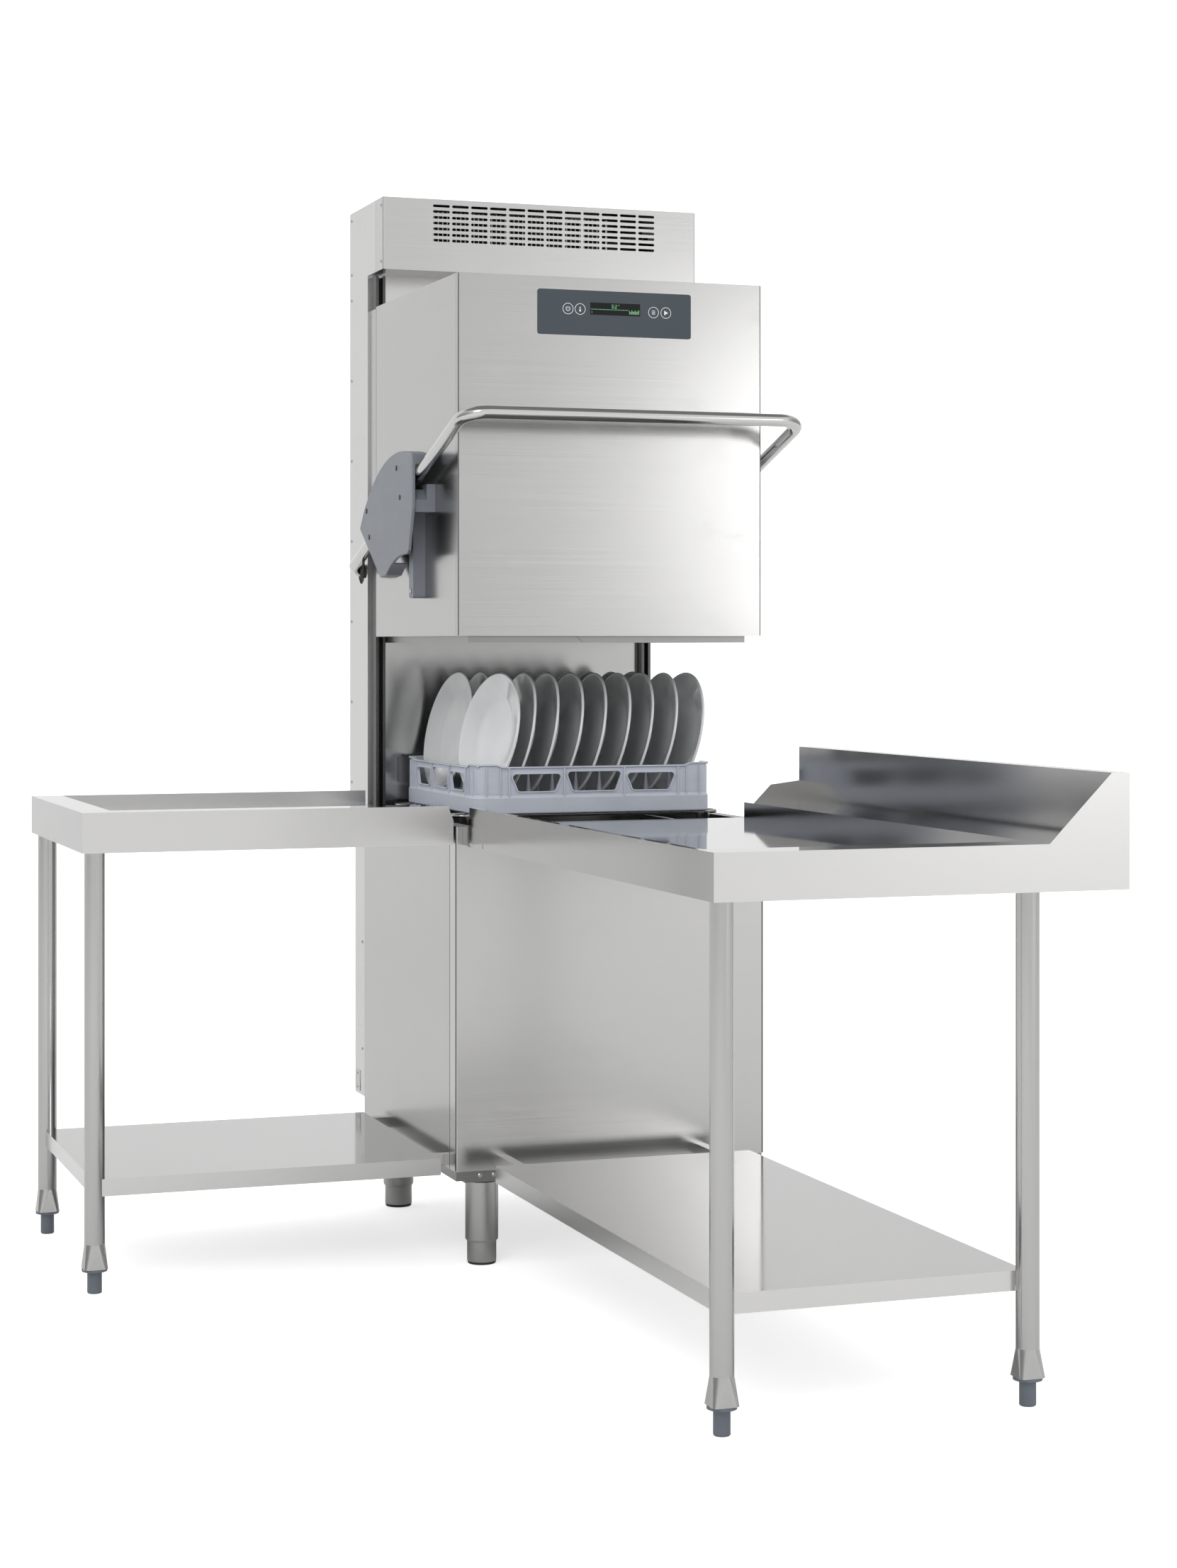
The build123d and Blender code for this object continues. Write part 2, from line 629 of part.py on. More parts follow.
def hood_brackets():
    """Grey T-shaped brackets on the hood's sides: a lug for the lift pin and a hanging leg."""
    front, back = 157, 223
    leg = block(LEG_X, LEG_Y, (1293, 1480)) + block(LEG_X, (front, LEG_Y[1]), (1462, 1484))
    leg += block((LUG_X[1], HOOD_X[0]), (front, back), (1472, 1517))
    outline = [(front, 1462), (front, 1486), (178, 1507), (202, 1507), (back, 1495), (back, 1462)]
    lug = side_prism(outline, LUG_X)
    bracket = leg + lug - lift_pin(RUN)
    foot_edges = bracket.edges().filter_by(Axis.X).group_by(Axis.Z)[0]
    return both_sides(fillet(foot_edges, 6))


def lift_pin(play=0):
    """Pin that links a bracket of the hood with a cam of the handle."""
    return rod((CAM_X[0] + 0.4, *PIN), (LUG_X[1] - 2, *PIN), PIN_R + play)


def bracket_screws():
    """Screws that hold the brackets to the hood."""
    places = [(243, 1307), (243, 1440)]
    screws = [rod((LEG_X[0] - 2, y, z), (LEG_X[0], y, z), 4.5) for y, z in places]
    return [side for screw in screws for side in both_sides(screw)]


# ---------------------------------------------------------------- control panel

def control_plate():
    """Cover plate of the control panel, cut out for the display and the buttons."""
    width, height = PANEL_X[1] - PANEL_X[0], PANEL_Z[1] - PANEL_Z[0]
    face = Plane.XZ * RectangleRounded(width, height, 5)
    plate = extrude(Pos(sum(PANEL_X) / 2, 0, sum(PANEL_Z) / 2) * face, -PANEL_FACE, dir=(0, -1, 0))
    plate -= block(DISPLAY_X, (-5, 5), DISPLAY_Z)
    for x, z in BUTTONS.values():
        plate -= rod((x, -5, z), (x, 5, z), BUTTON_R + 0.3)
    return plate


def display_window():
    """Glass window of the display, just behind the plate's face."""
    return block(inset(DISPLAY_X, 0.1), (-1.6, 0), inset(DISPLAY_Z, 0.1))


def button(name):
    """Round push button with a softened rim; it travels into the panel."""
    x, z = BUTTONS[name]
    cap = [(0, 0.6), (BUTTON_R - 1.5, 0.6), (BUTTON_R - 1, 0), (BUTTON_R - 0.5, 0), (BUTTON_R, 0.5)]
    cap += [(BUTTON_R, 6), (0, 6)]
    return Pos(x, PANEL_FACE - 0.4, z) * Rot(X=-90) * turned(cap)


# ---------------------------------------------------------------- handle

ARM_SIDE = (cos(radians(HANDLE_RISE)), sin(radians(HANDLE_RISE)))


def along_arm(distance, drop=0):
    """y and z of a point at a distance from the shaft along the arm, and below its centre line."""
    c, s = ARM_SIDE
    return (SHAFT[0] - distance * c - drop * s, SHAFT[1] + distance * s - drop * c)


def lift_handle():
    """Tube bent round the machine, from one end of the cross shaft to the other."""
    left, right = HANDLE_X
    inner = 26
    back, front = SHAFT, along_arm(HANDLE_LENGTH)
    points = [(inner, *back), (left, *back), (left, *front), (right, *front), (right, *back)]
    points.append((CABINET_W - inner, *back))
    return bent_rod(points, HANDLE_BEND, TUBE_R)


def cross_shaft():
    """Shaft between the tube's ends, with two cranks for the balance springs."""
    shaft = rod((26, *SHAFT), (CABINET_W - 26, *SHAFT), TUBE_R)
    y, z = CRANK_TIP
    outline = [(SHAFT[0] - 14, SHAFT[1] - 14), (y - 6, z - 8), (y + 8, z - 2), (y + 4, z + 10)]
    outline.append((SHAFT[0], SHAFT[1] + 20))
    for x in CRANK_X:
        shaft += side_prism(outline, (x - 3, x + 3))
        shaft += rod((x, y, z), (x + 14, y, z), 4)
    return shaft


def balance_springs():
    """Two extension springs that carry the hood's weight."""
    springs = []
    height = CRANK_TIP[1] - 14 - SPRING_FOOT
    for x in CRANK_X:
        helix = Helix(pitch=height / 16, height=height, radius=SPRING_R)
        coil = sweep(Plane(origin=helix @ 0, z_dir=helix % 0) * Circle(2.5), path=helix)
        springs.append(Pos(x + 10, CRANK_TIP[0], SPRING_FOOT) * coil)
    return springs


def spring_anchors():
    """Brackets at the foot of the balance springs."""
    shapes = []
    for x in CRANK_X:
        shapes.append(block((x - 15, x + 35), (740, TOWER_Y[1] - SHEET), (936, 942)))
    return shapes


def cover_outline():
    """Side outline of the quadrant cover over the lift linkage, in y and z."""
    top_front, heel, tip = (151, 1575), (556, 1443), (392, 1337)
    belly_end, belly_start = (349, 1341), (192, 1379)
    top = ThreePointArc(top_front, (384, 1562), heel)
    back = Polyline(heel, tip, belly_end)
    belly = ThreePointArc(belly_end, (285, 1369), belly_start)
    front = Polyline(belly_start, (180, 1386), (151, 1470), top_front)
    face = make_face([top, belly] + list(back.edges()) + list(front.edges()))
    return fillet(face.vertices(), 5)


def handle_covers():
    """Grey quadrant covers: a flat face with a rim, open towards the hood."""
    outline = Plane.YZ * cover_outline()
    depth = COVER_X[1] - COVER_X[0]
    outer = extrude(Pos(COVER_X[0], 0, 0) * outline, depth, dir=(1, 0, 0))
    outer = fillet(outer.faces().sort_by(Axis.X)[0].edges(), 2.5)
    hollow = Plane.YZ * offset(cover_outline(), -COVER_WALL)
    cover = outer - extrude(Pos(COVER_X[0] + COVER_WALL, 0, 0) * hollow, depth, dir=(1, 0, 0))
    cover -= block((CAM_X[1] + 0.2, 0), (140, 305), (1300, 1556))
    near, far = along_arm(100), along_arm(700)
    cover -= rod((HANDLE_X[0], *near), (HANDLE_X[0], *far), TUBE_R + GAP)
    return both_sides(cover)


def cover_screws():
    """Screws that hold the covers to the arms."""
    head = [rod((COVER_X[0] - 1.6, y, z), (COVER_X[0], y, z), 5) for y, z in COVER_SCREWS]
    return [side for screw in head for side in both_sides(screw)]


def lift_cams():
    """Plates fixed in the covers, each with a slot in which the lift pin slides."""
    y, z = PIN[0] - SHAFT[0], PIN[1] - SHAFT[1]
    angle = degrees(atan2(z, y))
    nearest, farthest = abs(y) - CAM_END_PLAY, hypot(y, z - HOOD_TRAVEL) + CAM_END_PLAY
    length = farthest - nearest
    middle = Pos((nearest + farthest) / 2, 0)
    slot = SlotOverall(length + 2 * PIN_R, 2 * (PIN_R + PIN_PLAY))
    sheet = middle * (RectangleRounded(length + 36, 52, 10) - slot)
    side = Plane(origin=(CAM_X[0], *SHAFT), x_dir=(0, 1, 0), z_dir=(1, 0, 0))
    thickness = CAM_X[1] - CAM_X[0]
    cam = extrude(side * Rot(Z=angle) * sheet, thickness, dir=(1, 0, 0))
    inside = Plane.YZ * offset(cover_outline(), -COVER_WALL - 0.2)
    return both_sides(cam & extrude(Pos(CAM_X[0], 0, 0) * inside, thickness, dir=(1, 0, 0)))


# ---------------------------------------------------------------- rack and plates

def rack_window(span, head):
    """Cutter for one window through two opposite rack walls, wider at its head."""
    outline = [(span[0] + 6, WINDOW_SILL), (span[1] - 6, WINDOW_SILL), (span[1], head), (span[0], head)]
    return front_prism(outline, (-RACK / 2 - 5, RACK / 2 + 5), 5)


def dish_rack():
    """Open square rack with windows in its walls, a lattice floor and ribs for the plates."""
    height = RACK_TOP - RACK_CORNER[2]
    inner = RACK - 2 * RACK_WALL
    body = extrude(RectangleRounded(RACK, RACK, 22), height)
    body -= Pos(0, 0, 4) * extrude(RectangleRounded(inner, inner, 18), height)
    for span, head in RACK_WINDOWS:
        cut = rack_window(span, head)
        body = body - cut - Rot(Z=90) * cut
    body -= extrude(Pos(0, 0, -1) * grid(RectangleRounded(36, 36, 4), (46, 46), (10, 10)), 8)
    rib_x = inset((-RACK / 2, RACK / 2), RACK_WALL - 1)
    width, distance = PLATE_RIB
    rib_z = (0, plate_rest(distance - width / 2) - RACK_CORNER[2])
    for row, _, _ in PLATE_ROWS:
        for side in (-distance, distance):
            y = row + side - ARM_CENTRE[1]
            body += block(rib_x, (y - width / 2, y + width / 2), rib_z)
    return Pos(*ARM_CENTRE, RACK_CORNER[2]) * body


def plate_rest(distance):
    """Height of the underside of a leaning plate's rim, at a distance from the row's middle."""
    lean = radians(PLATE_LEAN)
    drop = sqrt(PLATE_R**2 - distance**2) * cos(lean) - PLATE_RIM * sin(lean)
    return PLATE_CENTRE - drop - GAP


def plate():
    """Dinner plate with a wide rim and a foot ring, standing on edge with its face to the left."""
    rim = [(PLATE_R - 2, PLATE_RIM - 1.5), (PLATE_R, PLATE_RIM), (PLATE_R - 2, PLATE_RIM + 1.5)]
    profile = [(0, 0), (62, 0), (66, -3), (72, -3), (76, 1), (84, 6), *rim, (82, 9), (74, 4.5), (0, 4)]
    return Rot(Y=-90) * turned(profile)


def plates():
    """Two rows of plates that lean to the right."""
    one = Rot(Y=PLATE_LEAN) * plate()
    dishes = []
    for y, first, pitch in PLATE_ROWS:
        dishes += [Pos(first + pitch * i, y, PLATE_CENTRE) * one for i in range(PLATES_PER_ROW)]
    return dishes


# ---------------------------------------------------------------- tables

def left_table_top():
    """Left table: folded edges, and a sunken lane that slopes down to a lip over the tank's edge."""
    end = LEFT_X[1]
    far, near = LEFT_LANE_Z
    low = LEFT_TOP - FASCIA
    outer_y = inset(LEFT_LANE_Y, -SHEET)
    inner = [(LEFT_LANE_X, LEFT_TOP), (LEFT_LANE_X, far), (end, near), (end, LEFT_TOP)]
    outer = [(LEFT_LANE_X - SHEET, LEFT_TOP), (LEFT_LANE_X - SHEET, far - SHEET)]
    outer += [(end, near - SHEET), (end, LEFT_TOP)]
    lane = front_prism(outer, outer_y) - front_prism(inner, LEFT_LANE_Y)
    mouth = block((end - SHEET - 1, end + 1), LEFT_LANE_Y, (near, LEFT_TOP + 1))
    top = pan(LEFT_X, LEFT_Y, (low, LEFT_TOP))
    top -= block((LEFT_LANE_X, end + 1), LEFT_LANE_Y, (LEFT_TOP - 5, LEFT_TOP + 5))
    top -= front_prism(outer, outer_y)
    top = top + lane - mouth
    lip = [(end, near - SHEET), (end, near), (2, near - 2), (2, DECK), (0.5, DECK), (0.5, near - 3.5)]
    top += front_prism(lip, LEFT_LANE_Y)
    corner = [(end, low), (-5, low), (-5, 862), (end, 882.4)]
    top += front_prism(corner, (LEFT_Y[0], LEFT_Y[0] + SHEET))
    chamfer = [(-16, LEFT_TOP + 1), (-16, LEFT_TOP), (-12.8, 882), (0, 882), (0, LEFT_TOP + 1)]
    return top - front_prism(chamfer, (LEFT_Y[0] - 1, LEFT_Y[0] + SHEET + 1))


def front_lane(near, far, start, end):
    """Outlines of the front lane's inside and outside, in y and z."""
    above = RIGHT_TOP + 1
    inner = [(start, above), (start, near), (end + 1, far), (end + 1, above)]
    outer = [(start - SHEET, RIGHT_TOP), (start - SHEET, near - SHEET)]
    outer += [(end, far - SHEET), (end, RIGHT_TOP)]
    return inner, outer


def right_table_top():
    """Front table: folded edges, a sunken lane and a raised ledge along the splash."""
    near, far = RIGHT_LANE_Z
    start, end = RIGHT_LANE_Y, RIGHT_Y[1]
    low = RIGHT_TOP - FASCIA
    inner, outer = front_lane(near, far, start, end)
    top = pan(RIGHT_X, RIGHT_Y, (low, RIGHT_TOP))
    top += side_prism(outer, inset(RIGHT_LANE_X, -SHEET))
    top -= side_prism(inner, RIGHT_LANE_X)
    top -= block((RIGHT_LANE_X[1] + SHEET, RIGHT_X[1]), (start, end), (RIGHT_LEDGE, RIGHT_TOP + 1))
    ledge_y = (start - SHEET, end)
    top += block((RIGHT_LANE_X[1], RIGHT_X[1] - SHEET), ledge_y, (RIGHT_LEDGE - SHEET, RIGHT_LEDGE))
    lip = [(end, far - SHEET), (end, far), (-3, far - 3), (-3, DECK), (-4.5, DECK), (-4.5, far - 4.5)]
    top += side_prism(lip, RIGHT_LANE_X)
    edge = RIGHT_X[0]
    chamfer = [(-57, RIGHT_TOP + 1), (-57, RIGHT_TOP), (-33.5, 853), (-30, 853), (-30, RIGHT_TOP + 1)]
    top -= side_prism(chamfer, (edge - 1, edge + SHEET + 1))
    joining_plate = block((edge - 1.2, edge), (-128, -0.5), (815, 853))
    return top + joining_plate


def table_splash():
    """Box splash along the front table's right side, with a slanted end cheek."""
    low = RIGHT_TOP - FASCIA
    y = (RIGHT_Y[0], -66)
    side = SPLASH_X[0]
    box = block(SPLASH_X, y, (low, SPLASH_TOP))
    box -= block(inset(SPLASH_X), inset(y), (low - 1, SPLASH_TOP - SHEET))
    cheek = [(580, RIGHT_TOP), (side, SPLASH_TOP), (side, RIGHT_TOP)]
    box += front_prism(cheek, (y[0], y[0] + SHEET))
    upstand = [(590, RIGHT_LEDGE), (630, 924), (side + 15, 933), (side + 15, RIGHT_LEDGE)]
    return box + front_prism(upstand, (y[1], y[1] + SHEET))


def legs(places, top):
    """Leg tubes, swaged out to a square foot at the floor end."""
    shapes = []
    for x, y in places:
        tube = turned([(LEG_R - SHEET, 91), (LEG_R, 91), (LEG_R, top), (LEG_R - SHEET, top)])
        foot = Pos(0, 0, 46) * RectangleRounded(45, 45, 9)
        neck = Pos(0, 0, 91.01) * RectangleRounded(37.6, 37.6, 18.7)
        shapes.append(Pos(x, y, 0) * (tube + loft([foot, neck])))
    return shapes


def table_feet():
    """Grey plastic foot in each table leg."""
    profile = [(0, 0), (12, 0), (13.5, 2), (13.5, 40), (23.5, 41), (23.5, 46), (0, 46)]
    return [Pos(x, y, 0) * turned(profile) for x, y in LEFT_LEGS + RIGHT_LEGS]


def shelf(limits, places):
    """Lower shelf with a folded edge, notched round the legs."""
    sheet = pan(*limits, SHELF_Z)
    for x, y in places:
        sheet -= rod((x, y, 150), (x, y, 250), LEG_R + GAP)
    return sheet


def shelves():
    """Both lower shelves, each hung on the cabinet by two short bars."""
    z = (188, 210)
    left = shelf(LEFT_SHELF, LEFT_LEGS)
    right = shelf(RIGHT_SHELF, RIGHT_LEGS)
    left += [block((LEFT_SHELF[0][1] - 1, 0), (y, y + 20), z) for y in (60, 520)]
    right += [block((x, x + 20), (RIGHT_SHELF[1][1] - 1, 0), z) for x in (90, 500)]
    return [left, right]


# ---------------------------------------------------------------- output

os.makedirs("parts", exist_ok=True)

save("base_frame", base_frame())
save("machine_feet", *machine_feet())
save("foot_pads", *foot_pads())
save("foot_screws", *foot_screws())
save("front_panel", folded_front((0, CABINET_W), (CABINET_FOOT, DECK - SHEET), FRONT_WRAP))
save("side_panels", *side_panels())

save("wash_tank", tank())
save("strainers", strainers())
save("overflow_pipe", overflow_pipe())
save("heating_elements", tank_heater(), boiler_heater())
save("rack_guide", rack_guide())

save("wash_pipes", wash_pipes(), suction_hose())
save("lower_wash_arm", spray_arm(LOWER_WASH_Z, 20, 44, 1))
save("lower_rinse_arm", spray_arm(LOWER_RINSE_Z, 8, 18, 1))
save("upper_wash_arm", spray_arm(UPPER_WASH_Z, 20, 44, -1))
save("upper_rinse_arm", spray_arm(UPPER_RINSE_Z, 8, 18, -1))
save("pump_volute", pump_volute())
save("pump_motor", pump_motor())
save("pump_impeller", pump_impeller())
save("rinse_boiler", rinse_boiler())
save("drain_pump", drain_pump())
save("water_inlet", water_inlet())
save("dosing_pumps", *dosing_pumps())
save("control_box", control_box())

save("rear_wall", rear_wall())
save("guide_posts", *guide_posts())
save("tower", tower())
save("service_duct", service_duct())
save("cable_gland", cable_gland())
save("shaft_bushes", *shaft_bushes())
save("balance_springs", *balance_springs())

save("condenser_front", condenser_front())
save("condenser_body", condenser_body())
save("condenser_coil", condenser_coil())
save("fan_motor", fan_motor())
save("fan_rotor", fan_rotor())

save("hood_front", hood_front())
save("hood_shell", hood_shell())
save("hood_liner", hood_liner())
save("hood_shoes", *hood_shoes())
save("hood_brackets", *hood_brackets())
save("bracket_fasteners", *both_sides(lift_pin()), *bracket_screws())
save("control_plate", control_plate())
save("display_window", display_window())
for button_name in BUTTONS:
    save(button_name, button(button_name))

save("lift_handle", lift_handle())
save("cross_shaft", cross_shaft())
save("handle_covers", *handle_covers())
save("cover_screws", *cover_screws())
save("lift_cams", *lift_cams())

save("dish_rack", dish_rack())
save("plates", *plates())

save("left_table_top", left_table_top())
save("front_table_top", right_table_top() + table_splash())
save("table_legs", *legs(LEFT_LEGS, LEFT_TOP - SHEET), *legs(RIGHT_LEGS, RIGHT_TOP - SHEET))
save("table_feet", *table_feet())
save("table_shelves", *shelves())
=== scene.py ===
import json
import math

import bmesh
import bpy
from mathutils import Matrix, Vector


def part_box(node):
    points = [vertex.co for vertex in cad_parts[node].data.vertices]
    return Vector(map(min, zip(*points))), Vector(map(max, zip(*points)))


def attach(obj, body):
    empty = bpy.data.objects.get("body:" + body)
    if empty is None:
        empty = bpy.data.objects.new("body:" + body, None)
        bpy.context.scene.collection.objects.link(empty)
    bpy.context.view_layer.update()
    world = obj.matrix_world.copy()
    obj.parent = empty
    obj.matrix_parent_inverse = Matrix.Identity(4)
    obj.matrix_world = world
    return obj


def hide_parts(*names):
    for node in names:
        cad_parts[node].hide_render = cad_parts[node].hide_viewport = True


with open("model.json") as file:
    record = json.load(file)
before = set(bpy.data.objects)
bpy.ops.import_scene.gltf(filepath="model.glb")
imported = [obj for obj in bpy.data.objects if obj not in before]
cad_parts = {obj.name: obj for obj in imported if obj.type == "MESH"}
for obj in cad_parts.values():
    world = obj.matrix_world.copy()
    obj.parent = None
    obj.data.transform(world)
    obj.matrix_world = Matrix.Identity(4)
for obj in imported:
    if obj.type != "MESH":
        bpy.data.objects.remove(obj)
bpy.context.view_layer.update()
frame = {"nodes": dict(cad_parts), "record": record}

nodes = frame["nodes"]
slot_of = {part["node"]: part["material_slot"] for part in frame["record"]["subparts"]}

# Lengths in this script are millimetres, turned into metres by MM. The place of everything comes from
# CORNER, the floor point below the cabinet's front left corner, as in the CAD layout.
MM = 0.001
CORNER = Vector((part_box("front_panel")[0].x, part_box("front_panel")[0].y, 0))


def at(x, y, z):
    """Row-frame point of a place given in millimetres from the cabinet's corner."""
    return CORNER + Vector((x, y, z)) * MM


def limits(node):
    """Lowest and highest corner of a CAD node, in millimetres from the cabinet's corner."""
    low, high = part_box(node)
    return (low - CORNER) / MM, (high - CORNER) / MM


# ---------------------------------------------------------------- materials

_materials = {}


def node_set(name):
    """New node material with its principled shader, ready for more nodes."""
    material = bpy.data.materials.new(name)
    material.use_nodes = True
    tree = material.node_tree
    return material, tree, tree.nodes["Principled BSDF"]


def add(tree, kind, **values):
    """Adds a node and sets its inputs by name, or its properties where there is no such input."""
    node = tree.nodes.new(kind)
    for key, value in values.items():
        if key in node.inputs:
            node.inputs[key].default_value = value
        else:
            setattr(node, key, value)
    return node


def stretched_noise(tree, stretch, detail=4.0, roughness=0.6):
    """Noise in object space, stretched so that it reads as grain along its slow axes."""
    place = add(tree, "ShaderNodeTexCoord")
    mapping = add(tree, "ShaderNodeMapping")
    mapping.inputs["Scale"].default_value = stretch
    noise = add(tree, "ShaderNodeTexNoise", Scale=1.0, Detail=detail, Roughness=roughness)
    tree.links.new(place.outputs["Object"], mapping.inputs["Vector"])
    tree.links.new(mapping.outputs["Vector"], noise.inputs["Vector"])
    return noise.outputs["Fac"]


def ranged(tree, value, low, high, from_low=0.3, from_high=0.7):
    """Maps a value to a new range."""
    node = add(tree, "ShaderNodeMapRange")
    node.inputs["From Min"].default_value = from_low
    node.inputs["From Max"].default_value = from_high
    node.inputs["To Min"].default_value = low
    node.inputs["To Max"].default_value = high
    tree.links.new(value, node.inputs["Value"])
    return node.outputs["Result"]


def added(tree, first, second):
    """Sum of two values."""
    node = add(tree, "ShaderNodeMath", operation="ADD")
    tree.links.new(first, node.inputs[0])
    tree.links.new(second, node.inputs[1])
    return node.outputs[0]


def mixed(tree, factor, first, second):
    """Mixes two colours by a factor."""
    node = add(tree, "ShaderNodeMix", data_type="RGBA")
    node.inputs[6].default_value = first
    node.inputs[7].default_value = second
    tree.links.new(factor, node.inputs[0])
    return node.outputs[2]


def grey(value, tint=(1, 1, 1)):
    """Tinted grey with full alpha."""
    return (value * tint[0], value * tint[1], value * tint[2], 1)


def bumped(tree, shader, layers, normal=None):
    """Stacks bumps, each a height, a strength and a distance in metres."""
    for height, strength, distance in layers:
        bump = add(tree, "ShaderNodeBump", Strength=strength, Distance=distance)
        tree.links.new(height, bump.inputs["Height"])
        if normal:
            tree.links.new(normal, bump.inputs["Normal"])
        normal = bump.outputs["Normal"]
    tree.links.new(normal, shader.inputs["Normal"])


def tilted(tree, tilt):
    """Surface normal leaned by a small vector, for sheet that doesn't stand quite upright."""
    surface = add(tree, "ShaderNodeNewGeometry")
    lean = add(tree, "ShaderNodeVectorMath", operation="ADD")
    lean.inputs[1].default_value = tilt
    tree.links.new(surface.outputs["Normal"], lean.inputs[0])
    unit = add(tree, "ShaderNodeVectorMath", operation="NORMALIZE")
    tree.links.new(lean.outputs[0], unit.inputs[0])
    return unit.outputs[0]


def toned(tree, value, axis, other):
    """Another tone or roughness for the faces that look to the front (axis Y) or to the left (axis X); the
    other tone is painted light and shade.
    """
    surface = add(tree, "ShaderNodeNewGeometry")
    axes = add(tree, "ShaderNodeSeparateXYZ")
    tree.links.new(surface.outputs["Normal"], axes.inputs["Vector"])
    blend = add(tree, "ShaderNodeMix", data_type="RGBA")
    blend.inputs[7].default_value = other
    tree.links.new(ranged(tree, axes.outputs[axis], 1, 0, -0.95, -0.5), blend.inputs[0])
    tree.links.new(value, blend.inputs[6])
    return blend.outputs[2]


def steel(name, tone, rough, grain, wave=0.02, depth=0.1, tint=(1.0, 0.993, 0.985), spread=0.04,
          painted_side_light_and_roughness=None, tilt=None):
    """Stainless sheet: brushed grain, cloudy polish, faint smears and a slightly wavy surface.

    The painted side light and roughness give the faces along an axis a tone and a roughness of their own;
    that tone is painted light and shade. A tilt leans the surface.
    """
    material, tree, shader = node_set(name)
    fine = stretched_noise(tree, grain, 6.0, 0.7)
    cloud = stretched_noise(tree, (2.1, 1.7, 1.9), 3.0, 0.5)
    smear = stretched_noise(tree, (7, 7, 16), 4.0, 0.6)
    swell = stretched_noise(tree, (1.1, 1.1, 1.4), 1.0, 0.4)
    shader.inputs["Metallic"].default_value = 1
    lines = ranged(tree, fine, 0, 1)
    colour = mixed(tree, lines, grey(tone - 0.015, tint), grey(tone + 0.015, tint))
    # painted light and shade: faces that look to the front or to the left get a tone of their own
    for axis, (other, _) in (painted_side_light_and_roughness or {}).items():
        colour = toned(tree, colour, axis, grey(other, tint))
    tree.links.new(colour, shader.inputs["Base Color"])
    patches = ranged(tree, cloud, rough - spread / 2, rough + spread / 2)
    touches = ranged(tree, smear, 0, spread, 0.55, 0.8)
    scratches = ranged(tree, fine, -0.01, 0.02)
    roughness = added(tree, added(tree, patches, touches), scratches)
    for axis, (_, other) in (painted_side_light_and_roughness or {}).items():
        roughness = toned(tree, roughness, axis, grey(other))
    tree.links.new(roughness, shader.inputs["Roughness"])
    layers = [(swell, wave, 0.01), (fine, depth, 0.00003)]
    bumped(tree, shader, layers, tilted(tree, tilt) if tilt else None)
    return material


def plastic(name, colour, rough, speckle=0.1, texture=900):
    """Moulded plastic: eroded-mould texture, slight flow marks and rubbed patches."""
    material, tree, shader = node_set(name)
    pits = stretched_noise(tree, (texture, texture, texture), 2.0, 0.5)
    flow = stretched_noise(tree, (7, 7, 15), 4.0, 0.6)
    dark = tuple(c * (1 - speckle) for c in colour) + (1,)
    light = tuple(min(1, c * (1 + speckle)) for c in colour) + (1,)
    tree.links.new(mixed(tree, ranged(tree, flow, 0, 1), dark, light), shader.inputs["Base Color"])
    tree.links.new(ranged(tree, flow, rough - 0.05, rough + 0.07), shader.inputs["Roughness"])
    bumped(tree, shader, [(pits, 0.25, 0.00008)])
    return material


def porcelain(name):
    """White glaze with a soft pooling tint and a barely uneven surface."""
    material, tree, shader = node_set(name)
    pool = stretched_noise(tree, (14, 14, 14), 3.0, 0.5)
    tints = mixed(tree, ranged(tree, pool, 0, 1), (0.71, 0.73, 0.74, 1), (0.79, 0.805, 0.81, 1))
    tree.links.new(tints, shader.inputs["Base Color"])
    shader.inputs["Roughness"].default_value = 0.2
    shader.inputs["Coat Weight"].default_value = 0.8
    shader.inputs["Coat Roughness"].default_value = 0.06
    bumped(tree, shader, [(pool, 0.05, 0.001)])
    return material


def black_glass(name):
    """Dark display window with faint dust."""
    material, tree, shader = node_set(name)
    dust = stretched_noise(tree, (400, 400, 400), 3.0, 0.5)
    shader.inputs["Base Color"].default_value = (0.004, 0.006, 0.006, 1)
    shader.inputs["Specular IOR Level"].default_value = 0.25
    tree.links.new(ranged(tree, dust, 0.06, 0.12), shader.inputs["Roughness"])
    return material


def glow(name, colour, strength):
    """Lit display segments, uneven like a backlight."""
    material, tree, shader = node_set(name)
    light = stretched_noise(tree, (90, 90, 90), 2.0, 0.5)
    shader.inputs["Base Color"].default_value = (0, 0, 0, 1)
    shader.inputs["Emission Color"].default_value = colour
    tree.links.new(ranged(tree, light, strength * 0.6, strength), shader.inputs["Emission Strength"])
    return material


LEVEL_GRAIN = (2.0, 2.0, 700.0)        # grain that runs level on upright sheets
UPRIGHT_GRAIN = (700.0, 700.0, 2.5)    # grain that runs up and down
FLAT_GRAIN_X = (2.0, 700.0, 700.0)     # grain along x on flat sheets
CAST = (160, 160, 160)                 # no direction

